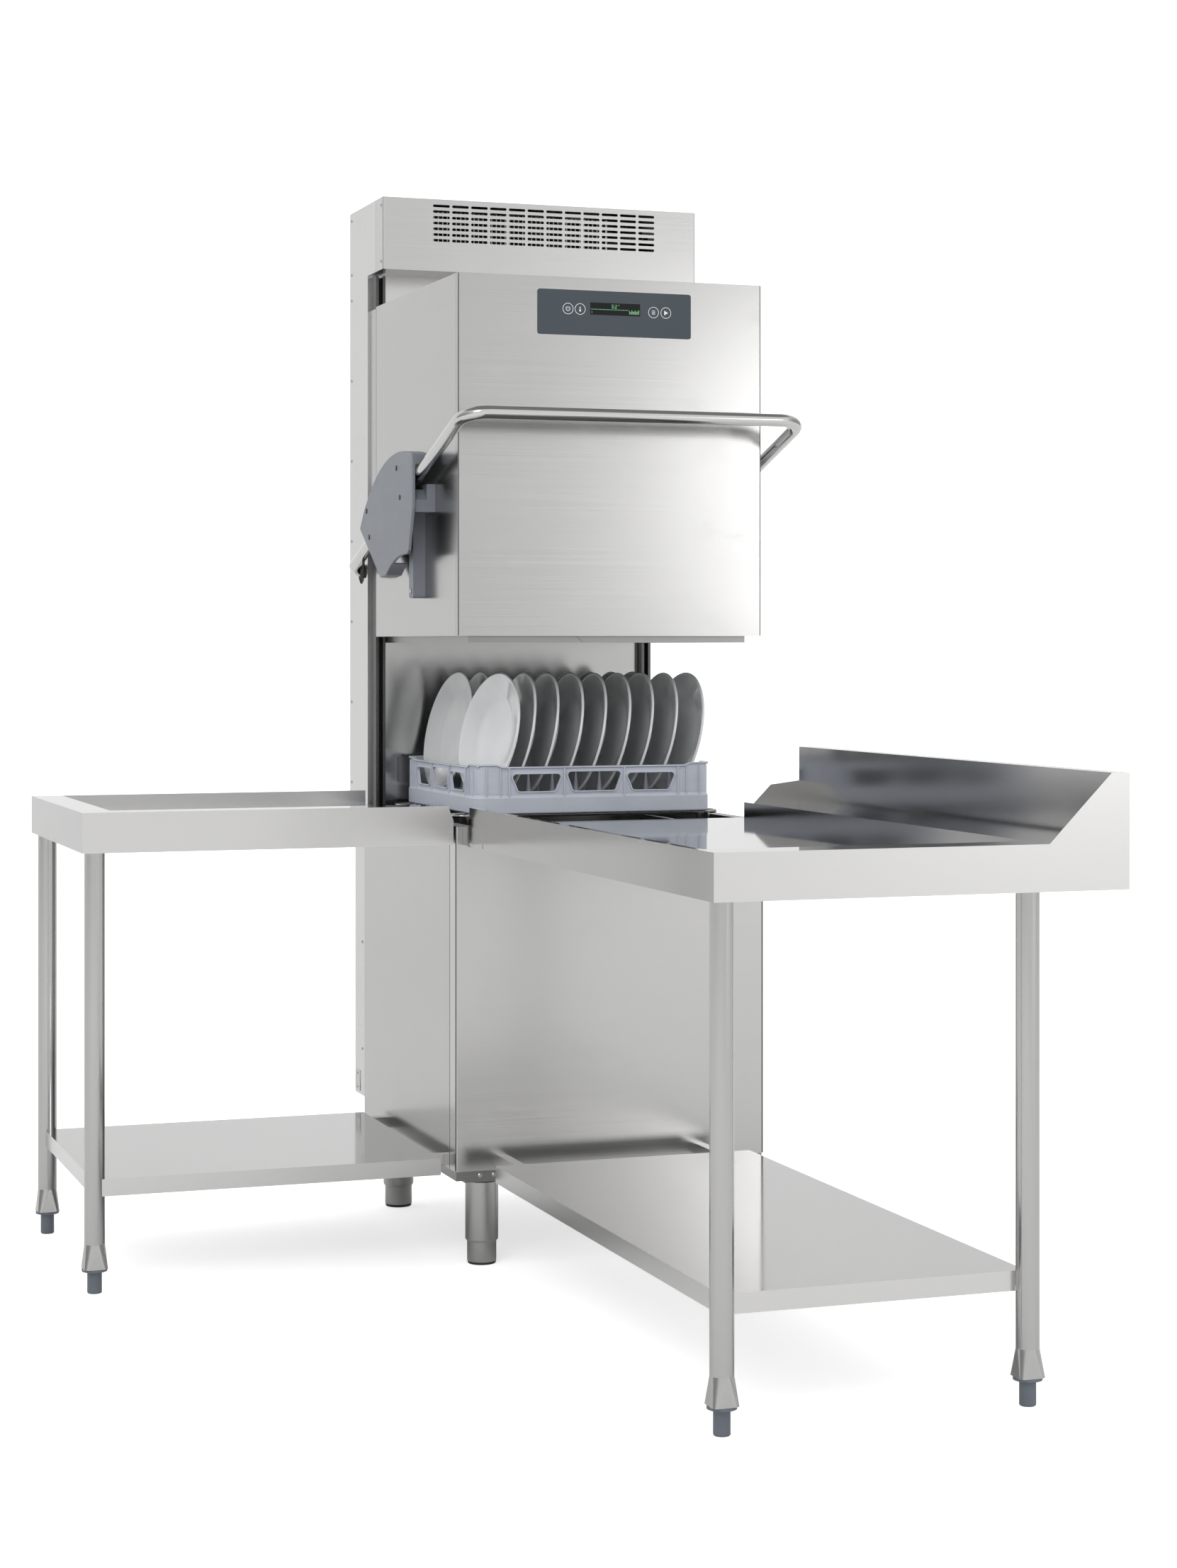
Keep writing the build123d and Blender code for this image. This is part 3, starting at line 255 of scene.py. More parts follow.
# How each material is made, by the name of a material slot or of a finish of this script.
FINISHES = {
    "brushed_steel": lambda name: steel(name, 0.53, 0.2, LEVEL_GRAIN),
    # painted light and shade: fronts lighter and left sides darker than the tops
    "polished_steel": lambda name: steel(name, 0.48, 0.045, FLAT_GRAIN_X, 0.012, 0.03, spread=0.02,
                                         painted_side_light_and_roughness={"Y": (0.64, 0.24), "X": (0.40, 0.15)}),
    "satin_tube": lambda name: steel(name, 0.47, 0.14, UPRIGHT_GRAIN, 0.0, 0.05, spread=0.02),
    # painted light: a lighter copy of the legs' satin tube, for the handle
    "handle_tube_painted_light": lambda name: steel(name, 0.6, 0.13, FLAT_GRAIN_X, 0.0, 0.05, spread=0.02),
    # painted shade: darker than the outer sheet, for the shaded inside of the chamber
    "inner_steel": lambda name: steel(name, 0.26, 0.3, LEVEL_GRAIN),
    "zinc_screw": lambda name: steel(name, 0.5, 0.25, CAST, 0.0),
    "grey_plastic": lambda name: plastic(name, (0.178, 0.193, 0.221), 0.42, 0.05),
    "dark_plastic": lambda name: plastic(name, (0.03, 0.03, 0.033), 0.45),
    "foot_plastic": lambda name: plastic(name, (0.115, 0.133, 0.157), 0.45),
    "rack_plastic": lambda name: plastic(name, (0.55, 0.585, 0.66), 0.38, 0.06),
    "glazed_white": porcelain,
    "panel_face": lambda name: plastic(name, (0.038, 0.052, 0.064), 0.4, 0.03, 1500),
    "button_face": lambda name: plastic(name, (0.041, 0.056, 0.069), 0.38, 0.03, 1500),
    "display_glass": black_glass,
    "rubber": lambda name: plastic(name, (0.022, 0.022, 0.022), 0.6),
    "motor_paint": lambda name: plastic(name, (0.06, 0.075, 0.09), 0.35, 0.1, 300),
    "motor_casting": lambda name: steel(name, 0.5, 0.42, CAST, 0.0, 0.5),
    "coil_fins": lambda name: steel(name, 0.7, 0.3, UPRIGHT_GRAIN, 0.0),
    "heater_sheath": lambda name: steel(name, 0.4, 0.35, CAST, 0.0, tint=(1, 0.93, 0.85)),
    "spring_steel": lambda name: steel(name, 0.35, 0.3, CAST, 0.0),
    "bush_plastic": lambda name: plastic(name, (0.7, 0.68, 0.63), 0.4),
    "print_white": lambda name: plastic(name, (0.72, 0.75, 0.77), 0.5, 0.05),
    "wall_steel": lambda name: steel(name, 0.43, 0.15, LEVEL_GRAIN, 0.01, spread=0.03, tilt=(0, 0, -0.035)),
    "pale_steel": lambda name: steel(name, 0.61, 0.24, UPRIGHT_GRAIN),
    # painted shade: darker than the outer sheet, for the shaded hood liner
    "skirt_steel_painted_shade": lambda name: steel(name, 0.28, 0.3, LEVEL_GRAIN),
    # painted light: fronts and left sides lighter than the tops
    "shelf_steel": lambda name: steel(name, 0.44, 0.08, FLAT_GRAIN_X, 0.012, 0.03, spread=0.02,
                                      painted_side_light_and_roughness={"Y": (0.64, 0.2), "X": (0.66, 0.2)}),
    "hood_steel": lambda name: steel(name, 0.46, 0.2, LEVEL_GRAIN),
    "foot_steel": lambda name: steel(name, 0.44, 0.22, UPRIGHT_GRAIN, 0.0),
    # near-black steel for the cover screws, and painted shade on the guide posts and in the covers'
    # countersinks
    "dark_steel_and_painted_shade": lambda name: steel(name, 0.1, 0.35, CAST, 0.0),
    "seam_steel": lambda name: steel(name, 0.14, 0.35, CAST, 0.0),
    "green_segments": lambda name: glow(name, (0.35, 0.85, 0.42, 1), 0.55),
}


def material_of(name):
    """Material by name, made once."""
    if name not in _materials:
        _materials[name] = FINISHES[name](name)
    return _materials[name]


def paint(piece, name):
    """Gives a piece one finished material and nothing else."""
    piece.data.materials.clear()
    piece.data.materials.append(material_of(name))


def soften(piece, width, segments=2):
    """Small rolled edges on every sharp edge of a piece."""
    bevel = piece.modifiers.new("edges", "BEVEL")
    bevel.width = width * MM
    bevel.segments = segments
    bevel.limit_method = "ANGLE"
    bevel.angle_limit = math.radians(35)
    bevel.harden_normals = True


# ---------------------------------------------------------------- mesh helpers


def piece_of(name, mesh, body, finish):
    """Finishes a bmesh, in millimetres from the corner, as a smooth piece that rides on a body."""
    bmesh.ops.remove_doubles(mesh, verts=mesh.verts, dist=0.01)
    bmesh.ops.recalc_face_normals(mesh, faces=mesh.faces)
    for vert in mesh.verts:
        vert.co = at(*vert.co)
    data = bpy.data.meshes.new(name)
    mesh.to_mesh(data)
    mesh.free()
    piece = bpy.data.objects.new(name, data)
    bpy.context.scene.collection.objects.link(piece)
    for face in data.polygons:
        face.use_smooth = True
    data.set_sharp_from_angle(angle=math.radians(32))
    paint(piece, finish)
    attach(piece, body)
    return piece


def loft(mesh, rings, closed_profile=False):
    """Skin through rings of points, capped at both ends unless the last ring joins the first."""
    rows = [[mesh.verts.new(point) for point in ring] for ring in rings]
    pairs = list(zip(rows, rows[1:]))
    if closed_profile:
        pairs.append((rows[-1], rows[0]))
    count = len(rows[0])
    for low, high in pairs:
        for i in range(count):
            j = (i + 1) % count
            mesh.faces.new((low[i], low[j], high[j], high[i]))
    if not closed_profile:
        mesh.faces.new(rows[0])
        mesh.faces.new(rows[-1])


def slab(mesh, x, y, z):
    """Closed box between limits on each axis."""
    low = [(x[0], y[0]), (x[1], y[0]), (x[1], y[1]), (x[0], y[1])]
    loft(mesh, [[(*p, z[0]) for p in low], [(*p, z[1]) for p in low]])


def lathe(mesh, profile, place, turns=32):
    """Solid of revolution from radius and height pairs, about the local z axis of a placing matrix."""
    rings = []
    for radius, height in profile:
        angles = [2 * math.pi * i / turns for i in range(turns)]
        ring = [Vector((radius * math.cos(a), radius * math.sin(a), height)) for a in angles]
        rings.append([place @ point for point in ring])
    loft(mesh, rings)


def smooth_line(points, steps):
    """Catmull-Rom curve through a line of points."""
    ends = [points[0], *points, points[-1]]
    line = []
    for a, b, c, d in zip(ends, ends[1:], ends[2:], ends[3:]):
        for step in range(steps):
            t = step / steps
            weights = (-t + 2 * t * t - t ** 3, 2 - 5 * t * t + 3 * t ** 3,
                       t + 4 * t * t - 3 * t ** 3, -t * t + t ** 3)
            line.append(tuple(sum(w * p[k] for w, p in zip(weights, (a, b, c, d))) / 2 for k in range(2)))
    return line + [points[-1]]


def rounded(x, z, bend, slant=0.0):
    """Outline between limits with rounded corners, from the top right corner round to the left.

    A slant makes the lower edge shorter at both ends.
    """
    middles = [(x[1] - bend, z[1] - bend), (x[0] + bend, z[1] - bend),
               (x[0] + slant + bend, z[0] + bend), (x[1] - slant - bend, z[0] + bend)]
    line = []
    for quarter, (middle_x, middle_z) in enumerate(middles):
        for step in range(5):
            angle = math.radians(90 * quarter + 90 * step / 4)
            line.append((middle_x + bend * math.cos(angle), middle_z + bend * math.sin(angle)))
    return line


def facing(place, normal):
    """Matrix that puts a local z axis along a normal at a place in millimetres."""
    turn = Vector(normal).to_track_quat("Z", "Y").to_matrix().to_4x4()
    return Matrix.Translation(Vector(place)) @ turn


# ---------------------------------------------------------------- plates

PLATE_SECTION = [(0, 0.4), (40, 0.4), (60, 0.2), (63.5, -2.2), (67, -3), (71, -2.8), (74.5, 0.6), (84, 4.8),
                 (104, 12), (119, 17), (124.8, 17.6), (126, 19.6), (125.6, 21.8), (123, 22.6),
                 (116, 20.4), (100, 14.8), (86, 9.6), (77, 6.2), (66, 4.5), (40, 4), (0, 4)]
PLATE_RADIUS, PLATE_RIM, PLATE_LEAN = 126, 20, math.radians(12)
PLATE_ROWS = [(158, 50.3), (148, 48.5)]     # x of the first plate and pitch, front row first
PLATE_TURNS = [(9, 0.6, -0.5, 0.4, -0.3, 0.4, -0.4, 0.5, 4), (4, -0.6, 0.5, -0.4, 0.3, -0.5, 0.4, -0.2, 1)]


def row_places():
    """y of the middle of each row of plates, front row first."""
    low, high = limits("plates")
    return low.y + PLATE_RADIUS, high.y - PLATE_RADIUS


def plates():
    """Two rows of glazed plates that lean a little to the right and don't all stand quite alike."""
    mesh = bmesh.new()
    section = [(max(r, 0.05), h) for r, h in smooth_line(PLATE_SECTION, 3)]
    rest = limits("plates")[0].z
    middle = rest + PLATE_RADIUS * math.cos(PLATE_LEAN) - PLATE_RIM * math.sin(PLATE_LEAN)
    lean = Matrix.Rotation(PLATE_LEAN - math.pi / 2, 4, "Y")
    for y, (first, pitch), turns in zip(row_places(), PLATE_ROWS, PLATE_TURNS):
        for i, turn in enumerate(turns):
            place = Matrix.Translation((first + pitch * i, y, middle))
            place @= Matrix.Rotation(math.radians(turn), 4, "Z") @ lean
            lathe(mesh, section, place, 96)
    piece = piece_of("glazed_plates", mesh, "rack", "glazed_white")
    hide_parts("plates")


# ---------------------------------------------------------------- rack

RACK_LOW, RACK_HIGH = limits("dish_rack")
RACK_MIDDLE = (RACK_LOW + RACK_HIGH) / 2
RACK_HALF = (RACK_HIGH.x - RACK_LOW.x) / 2
RACK_BASE = RACK_LOW.z
WINDOWS = [(-171, -71), (-56, 56), (71, 171)]
RIBS = [-226, -197, 197, 226]
SILL, HEAD = 44, 78
WALL = 4.2                              # how far the wall between the ribs stands back
OUTER, INNER = 0.3, 7.0                 # outer and inner faces of ribs and frames


def rack_bend(inset):
    """Half the width of the rack at an inset, and points round its front right corner."""
    half, bend = RACK_HALF - inset, 22 - inset
    middle = half - bend
    angles = [math.radians(-90 + 90 * step / 6) for step in range(7)]
    return half, [(middle + bend * math.cos(a), -middle + bend * math.sin(a)) for a in angles]


def rack_path(inset):
    """Closed line round the rack's rounded square."""
    half, corner = rack_bend(inset)
    wall = [(-60, -half), (60, -half), (193, -half), (205, -half), *corner, (half, -205), (half, -193)]
    return [quarter_turn(quarter, x, y) for quarter in range(4) for x, y in wall]


def quarter_turn(quarter, x, y):
    """Place on one wall of the rack, from its place on the front wall."""
    c, s = round(math.cos(quarter * math.pi / 2)), round(math.sin(quarter * math.pi / 2))
    return c * x - s * y, s * x + c * y


def rack_point(x, y, z, raised=False):
    """Machine-frame place of a rack point; the rim stands 5 mm higher round the corners."""
    lift = 5 if raised and min(abs(x), abs(y)) > 199 else 0
    return (RACK_MIDDLE.x + x, RACK_MIDDLE.y + y, RACK_BASE + z + lift)


def rack_hoop(mesh, section, raised=()):
    """Closed hoop round the rack with a given section of inset and height."""
    rings = []
    for index, (inset, z) in enumerate(section):
        rings.append([rack_point(x, y, z, index in raised) for x, y in rack_path(inset)])
    loft(mesh, rings, closed_profile=True)


def rack_side(mesh, quarter, along, inset, z):
    """Bar on one wall of the rack, between limits along the wall, into the wall and in height."""
    near, far = inset[0] - RACK_HALF, inset[1] - RACK_HALF
    outline = [(along[0], near), (along[1], near), (along[1], far), (along[0], far)]
    turned = [quarter_turn(quarter, x, y) for x, y in outline]
    loft(mesh, [[rack_point(x, y, height) for x, y in turned] for height in z])


def rack_corner(mesh, quarter):
    """Wall round one corner, beside the windows."""
    edge = WINDOWS[2][1] + 8
    half, corner = rack_bend(WALL)
    outer = [(edge, -half), *corner, (half, -edge)]
    half, corner = rack_bend(INNER)
    inner = [(edge, -half), *corner, (half, -edge)]
    turned = [quarter_turn(quarter, x, y) for x, y in outer + inner[::-1]]
    rows = [[mesh.verts.new(rack_point(x, y, z)) for x, y in turned] for z in (SILL - 5, HEAD + 6)]
    count = len(turned)
    for i in range(count):
        j = (i + 1) % count
        mesh.faces.new((rows[0][i], rows[0][j], rows[1][j], rows[1][i]))
    for row in rows:
        for i in range(count // 2 - 1):
            mesh.faces.new((row[i], row[i + 1], row[count - 2 - i], row[count - 1 - i]))


def window_outline(left, right, sill, head, grow=0.0):
    """Outline of a rack window, wider at its head, or of a frame that is larger all round by grow."""
    return rounded((left - grow, right + grow), (sill - grow, head + grow), 7 + grow, 9 - grow * 0.2)


def clamped(value, low, high):
    """Value kept between two limits."""
    return min(max(value, low), high)


def rack_window(mesh, quarter, left, right):
    """Wall panel round one window with a raised frame along its edge."""
    head = HEAD + (4 if left == WINDOWS[1][0] else 0)
    opening = window_outline(left, right, SILL, head)
    rim = window_outline(left, right, SILL, head, 2.6)
    middle_x, middle_z = (left + right) / 2, (SILL + head) / 2
    panel = [(clamped((x - middle_x) * 9 + middle_x, left - 8, right + 8),
              clamped((z - middle_z) * 9 + middle_z, SILL - 6, 87)) for x, z in opening]
    rings = []
    for line, inset in ((panel, WALL), (rim, WALL), (rim, WALL - 2.6), (opening, WALL - 2.6),
                        (opening, INNER), (panel, INNER)):
        rings.append([rack_point(*quarter_turn(quarter, x, inset - RACK_HALF), z) for x, z in line])
    loft(mesh, rings, closed_profile=True)


def rack():
    """Dish rack: solid lower band, framed windows, a rim raised at the corners, ribs, floor and pegs."""
    mesh = bmesh.new()
    band = [(0, 2), (1.5, 0), (6.5, 0), (6.5, SILL - 2), (WALL + 0.5, SILL - 2), (WALL + 0.5, 36.5),
            (2.4, 35.5), (1.2, 32), (0, 31)]
    rack_hoop(mesh, band)
    rim = [(WALL, HEAD + 6), (INNER, HEAD + 6), (INNER, 90), (7.5, 91), (7.5, 93), (0.6, 93), (0, 92.4),
           (0, 90.2), (WALL - 0.4, 89.2)]
    rack_hoop(mesh, rim, raised=(2, 3, 4, 5, 6, 7, 8))
    for quarter in range(4):
        rack_corner(mesh, quarter)
        for left, right in WINDOWS:
            rack_window(mesh, quarter, left, right)
        for edge in (-179, -63.5, 63.5, 179):
            rack_side(mesh, quarter, (edge - 1.6, edge + 1.6), (OUTER, 5), (31.5, 90))
        for edge in RIBS:
            rack_side(mesh, quarter, (edge - 1.2, edge + 1.2), (0.8, 5), (33, 91))
        x, y = quarter_turn(quarter, RACK_HALF - 7.5, 7.5 - RACK_HALF)
        section = [(0.05, 88), (3.6, 88), (3.6, 92.8), (3, 93), (0.05, 93)]
        lathe(mesh, section, Matrix.Translation(rack_point(x, y, 5)), 14)
    lattice(mesh)
    pegs(mesh)
    piece = piece_of("open_rack", mesh, "rack", "rack_plastic")
    soften(piece, 0.4, 1)
    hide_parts("dish_rack")


def lattice(mesh):
    """Crossed floor bars, with heavier ones round the edge."""
    x, y, half = RACK_MIDDLE.x, RACK_MIDDLE.y, RACK_HALF - 6
    steps = 21
    for i in range(1, steps):
        offset = -half + 2 * half * i / steps
        wide = 2.6 if i % 5 == 0 else 1.5
        across = (x + offset - wide, x + offset + wide)
        slab(mesh, across, (y - half, y + half), (RACK_BASE + 0.5, RACK_BASE + 6))
        along = (y + offset - wide, y + offset + wide)
        slab(mesh, (x - half, x + half), along, (RACK_BASE + 1, RACK_BASE + 5.5))


def pegs(mesh):
    """Tapered fingers between the plates, four rows of them, each on the rail that carries the plates."""
    section = [(6.2, 4), (6.0, 34), (5.2, 44), (1.3, 80), (0.3, 82)]
    for row, (first, pitch) in zip(row_places(), PLATE_ROWS):
        for side in (-46, 46):
            y = row + side
            slab(mesh, (RACK_LOW.x + 5, RACK_HIGH.x - 5), (y - 2, y + 2), (RACK_BASE + 4, RACK_BASE + 36.5))
            for i in range(len(PLATE_TURNS[0])):
                place = Matrix.Translation((first + pitch * i, y, RACK_BASE))
                lathe(mesh, section, place, 12)


# ---------------------------------------------------------------- control panel

PANEL_FACE = limits("control_plate")[0].y
WINDOW_LOW = limits("display_window")[0]
SEGMENTS = {"2": "abdeg", "6": "acdefg"}
PRINT = 0.12                            # thickness of printed and lit shapes


def bar(mesh, x, z, y):
    """Thin printed or lit bar on an upright face that looks to the front."""
    slab(mesh, x, (y - PRINT, y), z)


def digit(mesh, figure, x, z, size, y):
    """Seven-segment figure with its lower left corner at x and z."""
    width, height, line = size * 0.55, size, size * 0.13
    half = height / 2
    places = {
        "a": ((x, x + width), (z + height - line, z + height)),
        "g": ((x, x + width), (z + half - line / 2, z + half + line / 2)),
        "d": ((x, x + width), (z, z + line)),
        "f": ((x, x + line), (z + half, z + height)),
        "b": ((x + width - line, x + width), (z + half, z + height)),
        "e": ((x, x + line), (z, z + half)),
        "c": ((x + width - line, x + width), (z, z + half)),
    }
    for segment in SEGMENTS[figure]:
        bar(mesh, *places[segment], y)


def readout():
    """Lit segments behind the window: a temperature, a running line and a small row of bars."""
    mesh = bmesh.new()
    y = WINDOW_LOW.y - 0.02
    left, low = WINDOW_LOW.x, WINDOW_LOW.z
    for i, figure in enumerate("62"):
        digit(mesh, figure, left + 45 + 6.4 * i, low + 13.4, 7.6, y)
    bar(mesh, (left + 58.5, left + 60.3), (low + 19.2, low + 21), y)
    for i in range(10):
        bar(mesh, (left + 1.5 + 7.9 * i, left + 8.7 + 7.9 * i), (low + 10.4, low + 11.5), y)
    for i, top in enumerate((9, 7, 10.5, 8, 8, 10.5, 7.5, 9, 11)):
        bar(mesh, (left + 81 + 2.4 * i, left + 82.7 + 2.4 * i), (low + 4.5, low + top + 1), y)
    bar(mesh, (left + 81, left + 102), (low + 3.2, low + 4), y)
    bar(mesh, (left + 3, left + 4), (low + 3, low + 7), y)
    piece_of("display_segments", mesh, "hood", "green_segments")


def ring(mesh, centre, y, inner, outer, start=0, stop=360):
    """Flat printed ring, or a part of one, on a face that looks to the front."""
    steps = max(6, int((stop - start) / 10))
    sections = []
    for step in range(steps + 1):
        angle = math.radians(start + (stop - start) * step / steps)
        c, s = math.cos(angle), math.sin(angle)
        corners = [(inner, y - PRINT), (outer, y - PRINT), (outer, y), (inner, y)]
        sections.append([(centre[0] + r * c, depth, centre[1] + r * s) for r, depth in corners])
    whole = stop - start == 360
    loft(mesh, sections[:-1] if whole else sections, closed_profile=whole)


def button_print():
    """Light ring round each button and a plain symbol on it."""
    rings = bmesh.new()
    for name in ("power", "temperature", "programme", "start"):
        low, high = limits(f"{name}_button")
        x, z = (low.x + high.x) / 2, (low.z + high.z) / 2
        ring(rings, (x, z), PANEL_FACE, 9.9, 11.0)
        y = low.y + 0.58
        mesh = bmesh.new()
        if name == "power":
            ring(mesh, (x, z), y, 3.6, 4.8, -240, 60)
            bar(mesh, (x - 0.6, x + 0.6), (z - 0.5, z + 4.8), y)
        if name == "temperature":
            bar(mesh, (x - 0.8, x + 0.8), (z - 1.2, z + 4.8), y)
            ring(mesh, (x, z - 2.8), y, 0.3, 2.1)
        if name == "programme":
            for step in (-3, 0, 3):
                bar(mesh, (x - 3.4, x + 3.4), (z + step - 0.6, z + step + 0.6), y)
        if name == "start":
            corners = [(x - 3.4, z - 4.6), (x + 4.8, z), (x - 3.4, z + 4.6)]
            loft(mesh, [[(cx, depth, cz) for cx, cz in corners] for depth in (y - PRINT, y)])
        piece_of(f"{name}_print", mesh, f"{name}_button", "print_white")
    piece_of("button_rings", rings, "hood", "print_white")


# ---------------------------------------------------------------- screws, plates and seams

COVER_SCREWS = [(268, 1554), (243, 1494), (499, 1478), (479, 1423)]    # y and z, hood open
DOME = [(4.2, 0), (4.2, 0.5), (3.6, 1.3), (2.3, 1.9), (1.4, 2.0), (1.2, 1.2), (0.05, 1.1)]
PROUD = 1.2                             # how far cover plates stand off their face
TOWER_FACE = 654                        # y up to which the hood's flanges reach
FLANGE_FOOT = 1405                      # z where the hood's flanges begin
WRAP_END = (37.8, 41)                   # y of the seam where the folded front panel ends on the sides
WRAP_TOP = 848                          # z where that seam ends below the deck
STOP_PLACES = [(-25, 596, 1393), (665, 596, 1393)]    # heads of the rubber buffers' studs


def screws(name, places, normal, size):
    """Group of domed screws with a socket, on one face of the fixed machine."""
    mesh = bmesh.new()
    section = [(r * size, h * size) for r, h in DOME]
    for place in places:
        lathe(mesh, section, facing(place, normal), 20)
    piece_of(name, mesh, "root", "zinc_screw")


def raised_panel(name, axis, level, side, along, z, bend=3.0):
    """Thin screwed-on cover plate with rounded corners, proud of an upright face of the fixed machine."""
    mesh = bmesh.new()
    rings = []
    for inset, height in ((0, 0), (0, PROUD - 0.4), (0.4, PROUD), (3, PROUD), (3.4, PROUD - 0.3)):
        depth = level + side * height
        outline = rounded((along[0] + inset, along[1] - inset), (z[0] + inset, z[1] - inset),
                          max(bend - inset, 0.2))
        rings.append([(depth, a, b) if axis == "x" else (a, depth, b) for a, b in outline])
    loft(mesh, rings)
    piece_of(name, mesh, "root", "brushed_steel")


def service_details():
    """Cover plates, screws and louvres on the sides and the back."""
    duct_low, duct_high = limits("service_duct")
    tower_high = limits("tower")[1]
    case_low, case_high = limits("condenser_body")
    for name, x, side in (("left", duct_low.x, -1), ("right", duct_high.x, 1)):
        raised_panel(f"duct_plate_{name}", "x", x, side, (717, 753), (236, 281))
        places = [(x + side * PROUD, 735, z) for z in (244, 273)]
        screws(f"duct_plate_screws_{name}", places, (side, 0, 0), 0.5)
        edge = [(x, 700, z) for z in (330, 560, 800)]
        screws(f"duct_screws_{name}", edge, (side, 0, 0), 0.8)
        wall = [(x, tower_high.y - 14, z) for z in range(900, 1960, 175)]
        screws(f"tower_screws_{name}", wall, (side, 0, 0), 0.8)
    raised_panel("tower_back_panel", "y", tower_high.y, 1, (24, 616), (880, 1960), 6)
    back = [(x, tower_high.y + PROUD, z) for x in (34, 606) for z in range(900, 1960, 208)]
    screws("tower_back_screws", back, (0, 1, 0), 0.9)
    raised_panel("duct_back_panel", "y", duct_high.y, 1, (110, 460), (420, 820), 6)
    back = [(x, duct_high.y + PROUD, z) for x in (120, 450) for z in (432, 620, 808)]
    screws("duct_back_screws", back, (0, 1, 0), 0.9)
    grille(case_high.y)
    for name, x, side in (("left", case_low.x, -1), ("right", case_high.x, 1)):
        places = [(x, y, z) for y in (case_low.y + 12, case_high.y - 14) for z in (2006, 2124)]
        screws(f"condenser_screws_{name}", places, (side, 0, 0), 0.8)


def grille(y):
    """Pressed louvres in the back of the condenser housing."""
    mesh = bmesh.new()
    for column in range(4):
        x = 90 + column * 145
        for row in range(6):
            z = 2018 + row * 18
            rings = []
            for end, depth in ((0, 0.2), (6, 4.5), (104, 4.5), (110, 0.2)):
                section = ((0, 0), (depth, 1.2), (depth * 0.9, 3.2), (0, 10))
                rings.append([(x + end, y + out, z + up) for out, up in section])
            loft(mesh, rings)
    piece_of("condenser_louvres", mesh, "root", "brushed_steel")


def cover_recess_shade():
    """Dark discs round the screws in the handle's covers, painted shade that stands in for their
    countersinks.
    """
    low, high = limits("handle_covers")
    for name, x, side in (("left", low.x, -1), ("right", high.x, 1)):
        mesh = bmesh.new()
        for y, z in COVER_SCREWS:
            # painted shade: a dark disc round each screw for the shade in its countersink
            lathe(mesh, [(0.05, -0.5), (6.2, -0.5), (6.2, 0.12), (4.6, 0.16), (0.05, 0.16)],
                  facing((x, y, z), (side, 0, 0)), 24)
        piece_of(f"cover_recess_shade_{name}", mesh, "handle", "dark_steel_and_painted_shade")


def hood_details():
    """Seams at the hood's front corners and the flanges that close its sides against the tower."""
    low, high = limits("hood_front")
    shell_low, shell_high = limits("hood_shell")
    for name, x, side in (("left", low.x, -1), ("right", high.x, 1)):
        mesh = bmesh.new()
        seam = sorted((x + side * 0.25, x - side * 1.9))
        slab(mesh, seam, (low.y - 0.25, low.y + 1.6), (low.z + 1, high.z - 1))
        piece_of(f"hood_seam_{name}", mesh, "hood", "seam_steel")
        mesh = bmesh.new()
        wall = shell_low.x if side < 0 else shell_high.x
        sheet = sorted((wall, wall - side * 1.2))
        slab(mesh, sheet, (shell_high.y - 2, TOWER_FACE), (FLANGE_FOOT, shell_high.z - 4))
        piece_of(f"hood_flange_{name}", mesh, "hood", "hood_steel")


def cabinet_seams():
    """Edges of the folded front panel: where it ends on the sides and along its corners."""
    low, high = limits("front_panel")
    mesh = bmesh.new()
    for x, side in ((low.x, -1), (high.x, 1)):
        edge = sorted((x + side * 0.15, x - side * 0.3))
        slab(mesh, edge, WRAP_END, (low.z + 1, WRAP_TOP))
        corner = sorted((x + side * 0.2, x - side * 1.3))
        slab(mesh, corner, (low.y - 0.2, low.y + 1.0), (low.z + 1, WRAP_TOP))
    piece_of("cabinet_seams", mesh, "root", "seam_steel")


def handle_stops():
    """Rubber buffers on short studs below the handle's arms, near its bends."""
    stud = [(0.05, -52), (5, -52), (6.5, -50), (6.5, -40), (5, -38), (2.6, -38), (2.6, -9), (0.05, -9)]
    for name, place in zip(("left", "right"), STOP_PLACES):
        mesh = bmesh.new()
        lathe(mesh, stud, Matrix.Translation(place), 24)
        piece_of(f"handle_stop_{name}", mesh, "handle", "rubber")


# ---------------------------------------------------------------- finish of the CAD nodes

SPECIAL = {
    # guide posts: painted shade, dark where they stand in the gap beside the tower
    "condenser_body": "pale_steel", "cover_screws": "dark_steel_and_painted_shade", "guide_posts": "dark_steel_and_painted_shade",
    # hood liner: painted shade of the chamber's inside
    "hood_front": "hood_steel", "hood_liner": "skirt_steel_painted_shade", "hood_shell": "hood_steel",
    # lift handle: painted light, a lighter copy of the satin tube
    "lift_handle": "handle_tube_painted_light", "machine_feet": "foot_steel", "rear_wall": "wall_steel",
    "service_duct": "pale_steel", "side_panels": "hood_steel", "table_shelves": "shelf_steel",
    "tower": "pale_steel",
}
EDGES = {
    "handle_covers": 0.8, "hood_brackets": 1.5, "left_table_top": 0.6, "front_table_top": 0.6,
    "table_shelves": 0.6, "condenser_front": 0.4, "condenser_body": 0.5, "hood_front": 0.5,
    "hood_shell": 0.5, "tower": 0.5, "service_duct": 0.5, "control_plate": 0.3, "machine_feet": 0.5,
    "table_feet": 0.8, "foot_screws": 0.3, "base_frame": 0.5,
}


def finish_cad_nodes():
    """Material for every CAD node and rolled edges for the ones in sight."""
    for node_name, piece in nodes.items():
        paint(piece, SPECIAL.get(node_name, slot_of[node_name]))
    for node_name, width in EDGES.items():
        soften(nodes[node_name], width)


# ---------------------------------------------------------------- stage, light and camera


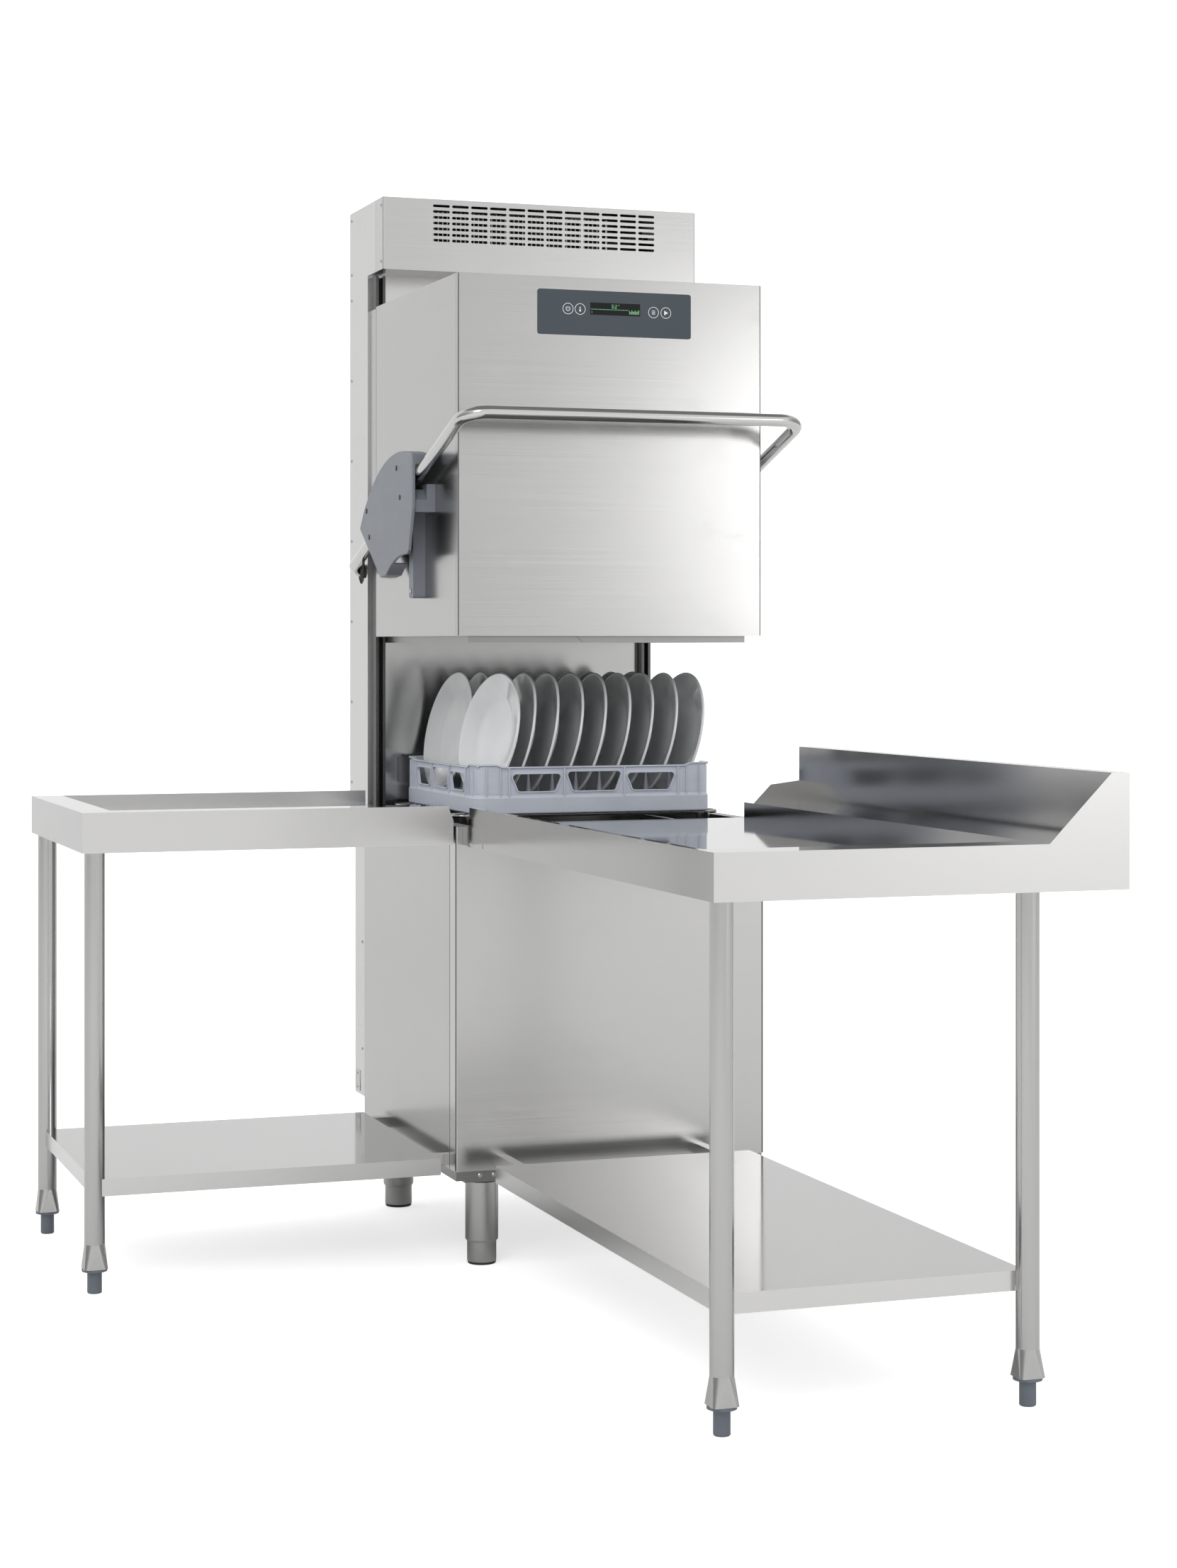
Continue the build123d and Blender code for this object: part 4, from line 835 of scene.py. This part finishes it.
def backdrop():
    """Pale floor that curves up into a wall far behind the object, laid out in metres."""
    radius, near, far, top, half = 3.0, -14.0, 9.0, 12.0, 16.0
    line = [(near, 0.0), (far - radius, 0.0)]
    for step in range(1, 13):
        turn = math.radians(90 * step / 12)
        line.append((far - radius + radius * math.sin(turn), radius - radius * math.cos(turn)))
    line.append((far, top))
    mesh = bpy.data.meshes.new("backdrop")
    points = [(x, y, z) for y, z in line for x in (-half, half)]
    faces = [(2 * i, 2 * i + 1, 2 * i + 3, 2 * i + 2) for i in range(len(line) - 1)]
    mesh.from_pydata(points, [], faces)
    for face in mesh.polygons:
        face.use_smooth = True
    sheet = bpy.data.objects.new("backdrop", mesh)
    bpy.context.scene.collection.objects.link(sheet)
    material, tree, shader = node_set("backdrop")
    tone = stretched_noise(tree, (0.8, 0.8, 0.8), 2.0, 0.5)
    colour = mixed(tree, ranged(tree, tone, 0, 1), grey(0.9), grey(0.93))
    tree.links.new(colour, shader.inputs["Base Color"])
    shader.inputs["Roughness"].default_value = 0.9
    shader.inputs["Emission Color"].default_value = (1, 1, 1, 1)
    path = add(tree, "ShaderNodeLightPath")
    seen = ranged(tree, path.outputs["Is Camera Ray"], 0, 0.6, 0, 1)
    tree.links.new(seen, shader.inputs["Emission Strength"])
    mesh.materials.append(material)


def area_light(name, place, target, size, power):
    """Soft rectangular lamp at a place in metres, aimed at a point."""
    data = bpy.data.lights.new(name, "AREA")
    data.shape = "RECTANGLE"
    data.size, data.size_y = size
    data.energy = power
    lamp = bpy.data.objects.new(name, data)
    lamp.location = place
    lamp.rotation_euler = (Vector(target) - Vector(place)).to_track_quat("-Z", "Y").to_euler()
    bpy.context.scene.collection.objects.link(lamp)


def studio():
    """Even white room, a soft key from the left, a broad panel and a bright strip at the front right."""
    world = bpy.data.worlds.new("studio")
    world.use_nodes = True
    tree = world.node_tree
    background = tree.nodes["Background"]
    background.inputs["Color"].default_value = (1, 1, 1, 1)
    path = add(tree, "ShaderNodeLightPath")
    place = add(tree, "ShaderNodeTexCoord")
    axes = add(tree, "ShaderNodeSeparateXYZ")
    tree.links.new(place.outputs["Generated"], axes.inputs["Vector"])
    side = add(tree, "ShaderNodeMath", operation="ABSOLUTE")
    tree.links.new(axes.outputs["X"], side.inputs[0])
    ceiling = ranged(tree, axes.outputs["Z"], 0.95, 0.25, 0.66, 0.8)
    flanks = ranged(tree, side.outputs[0], 1.0, 0.42, 0.62, 0.95)
    seen = add(tree, "ShaderNodeMath", operation="MULTIPLY")
    tree.links.new(ceiling, seen.inputs[0])
    tree.links.new(flanks, seen.inputs[1])
    power = add(tree, "ShaderNodeMix", data_type="FLOAT")
    power.inputs[2].default_value = 1.0
    tree.links.new(path.outputs["Is Glossy Ray"], power.inputs[0])
    tree.links.new(seen.outputs[0], power.inputs[3])
    tree.links.new(power.outputs[0], background.inputs["Strength"])
    bpy.context.scene.world = world
    area_light("key", (-3.5, -5.0, 4.8), (0, 0, 1.0), (2.5, 2.5), 80)
    area_light("panel", (4.56, -5.76, 1.9), (0.3, 0.0, 1.2), (3.6, 3.8), 5)
    area_light("strip", (4.98, -8.9, 2.05), (0.3, 0.0, 1.5), (1.3, 1.75), 27)


def camera():
    """Level camera at the height of the hood, in front of the machine and a little to its left."""
    data = bpy.data.cameras.new("camera")
    data.lens = 65.76
    data.sensor_width = 36
    data.shift_y = -0.0884
    eye = bpy.data.objects.new("camera", data)
    eye.location = at(-1580.6, -5283.1, 1198.5)
    heading = -0.3371
    eye.rotation_euler = (math.radians(90), 0, heading)
    bpy.context.scene.collection.objects.link(eye)
    bpy.context.scene.camera = eye


finish_cad_nodes()
plates()
rack()
readout()
button_print()
service_details()
cover_recess_shade()
hood_details()
cabinet_seams()
handle_stops()
backdrop()
studio()
camera()
bpy.context.scene.view_settings.view_transform = "Standard"
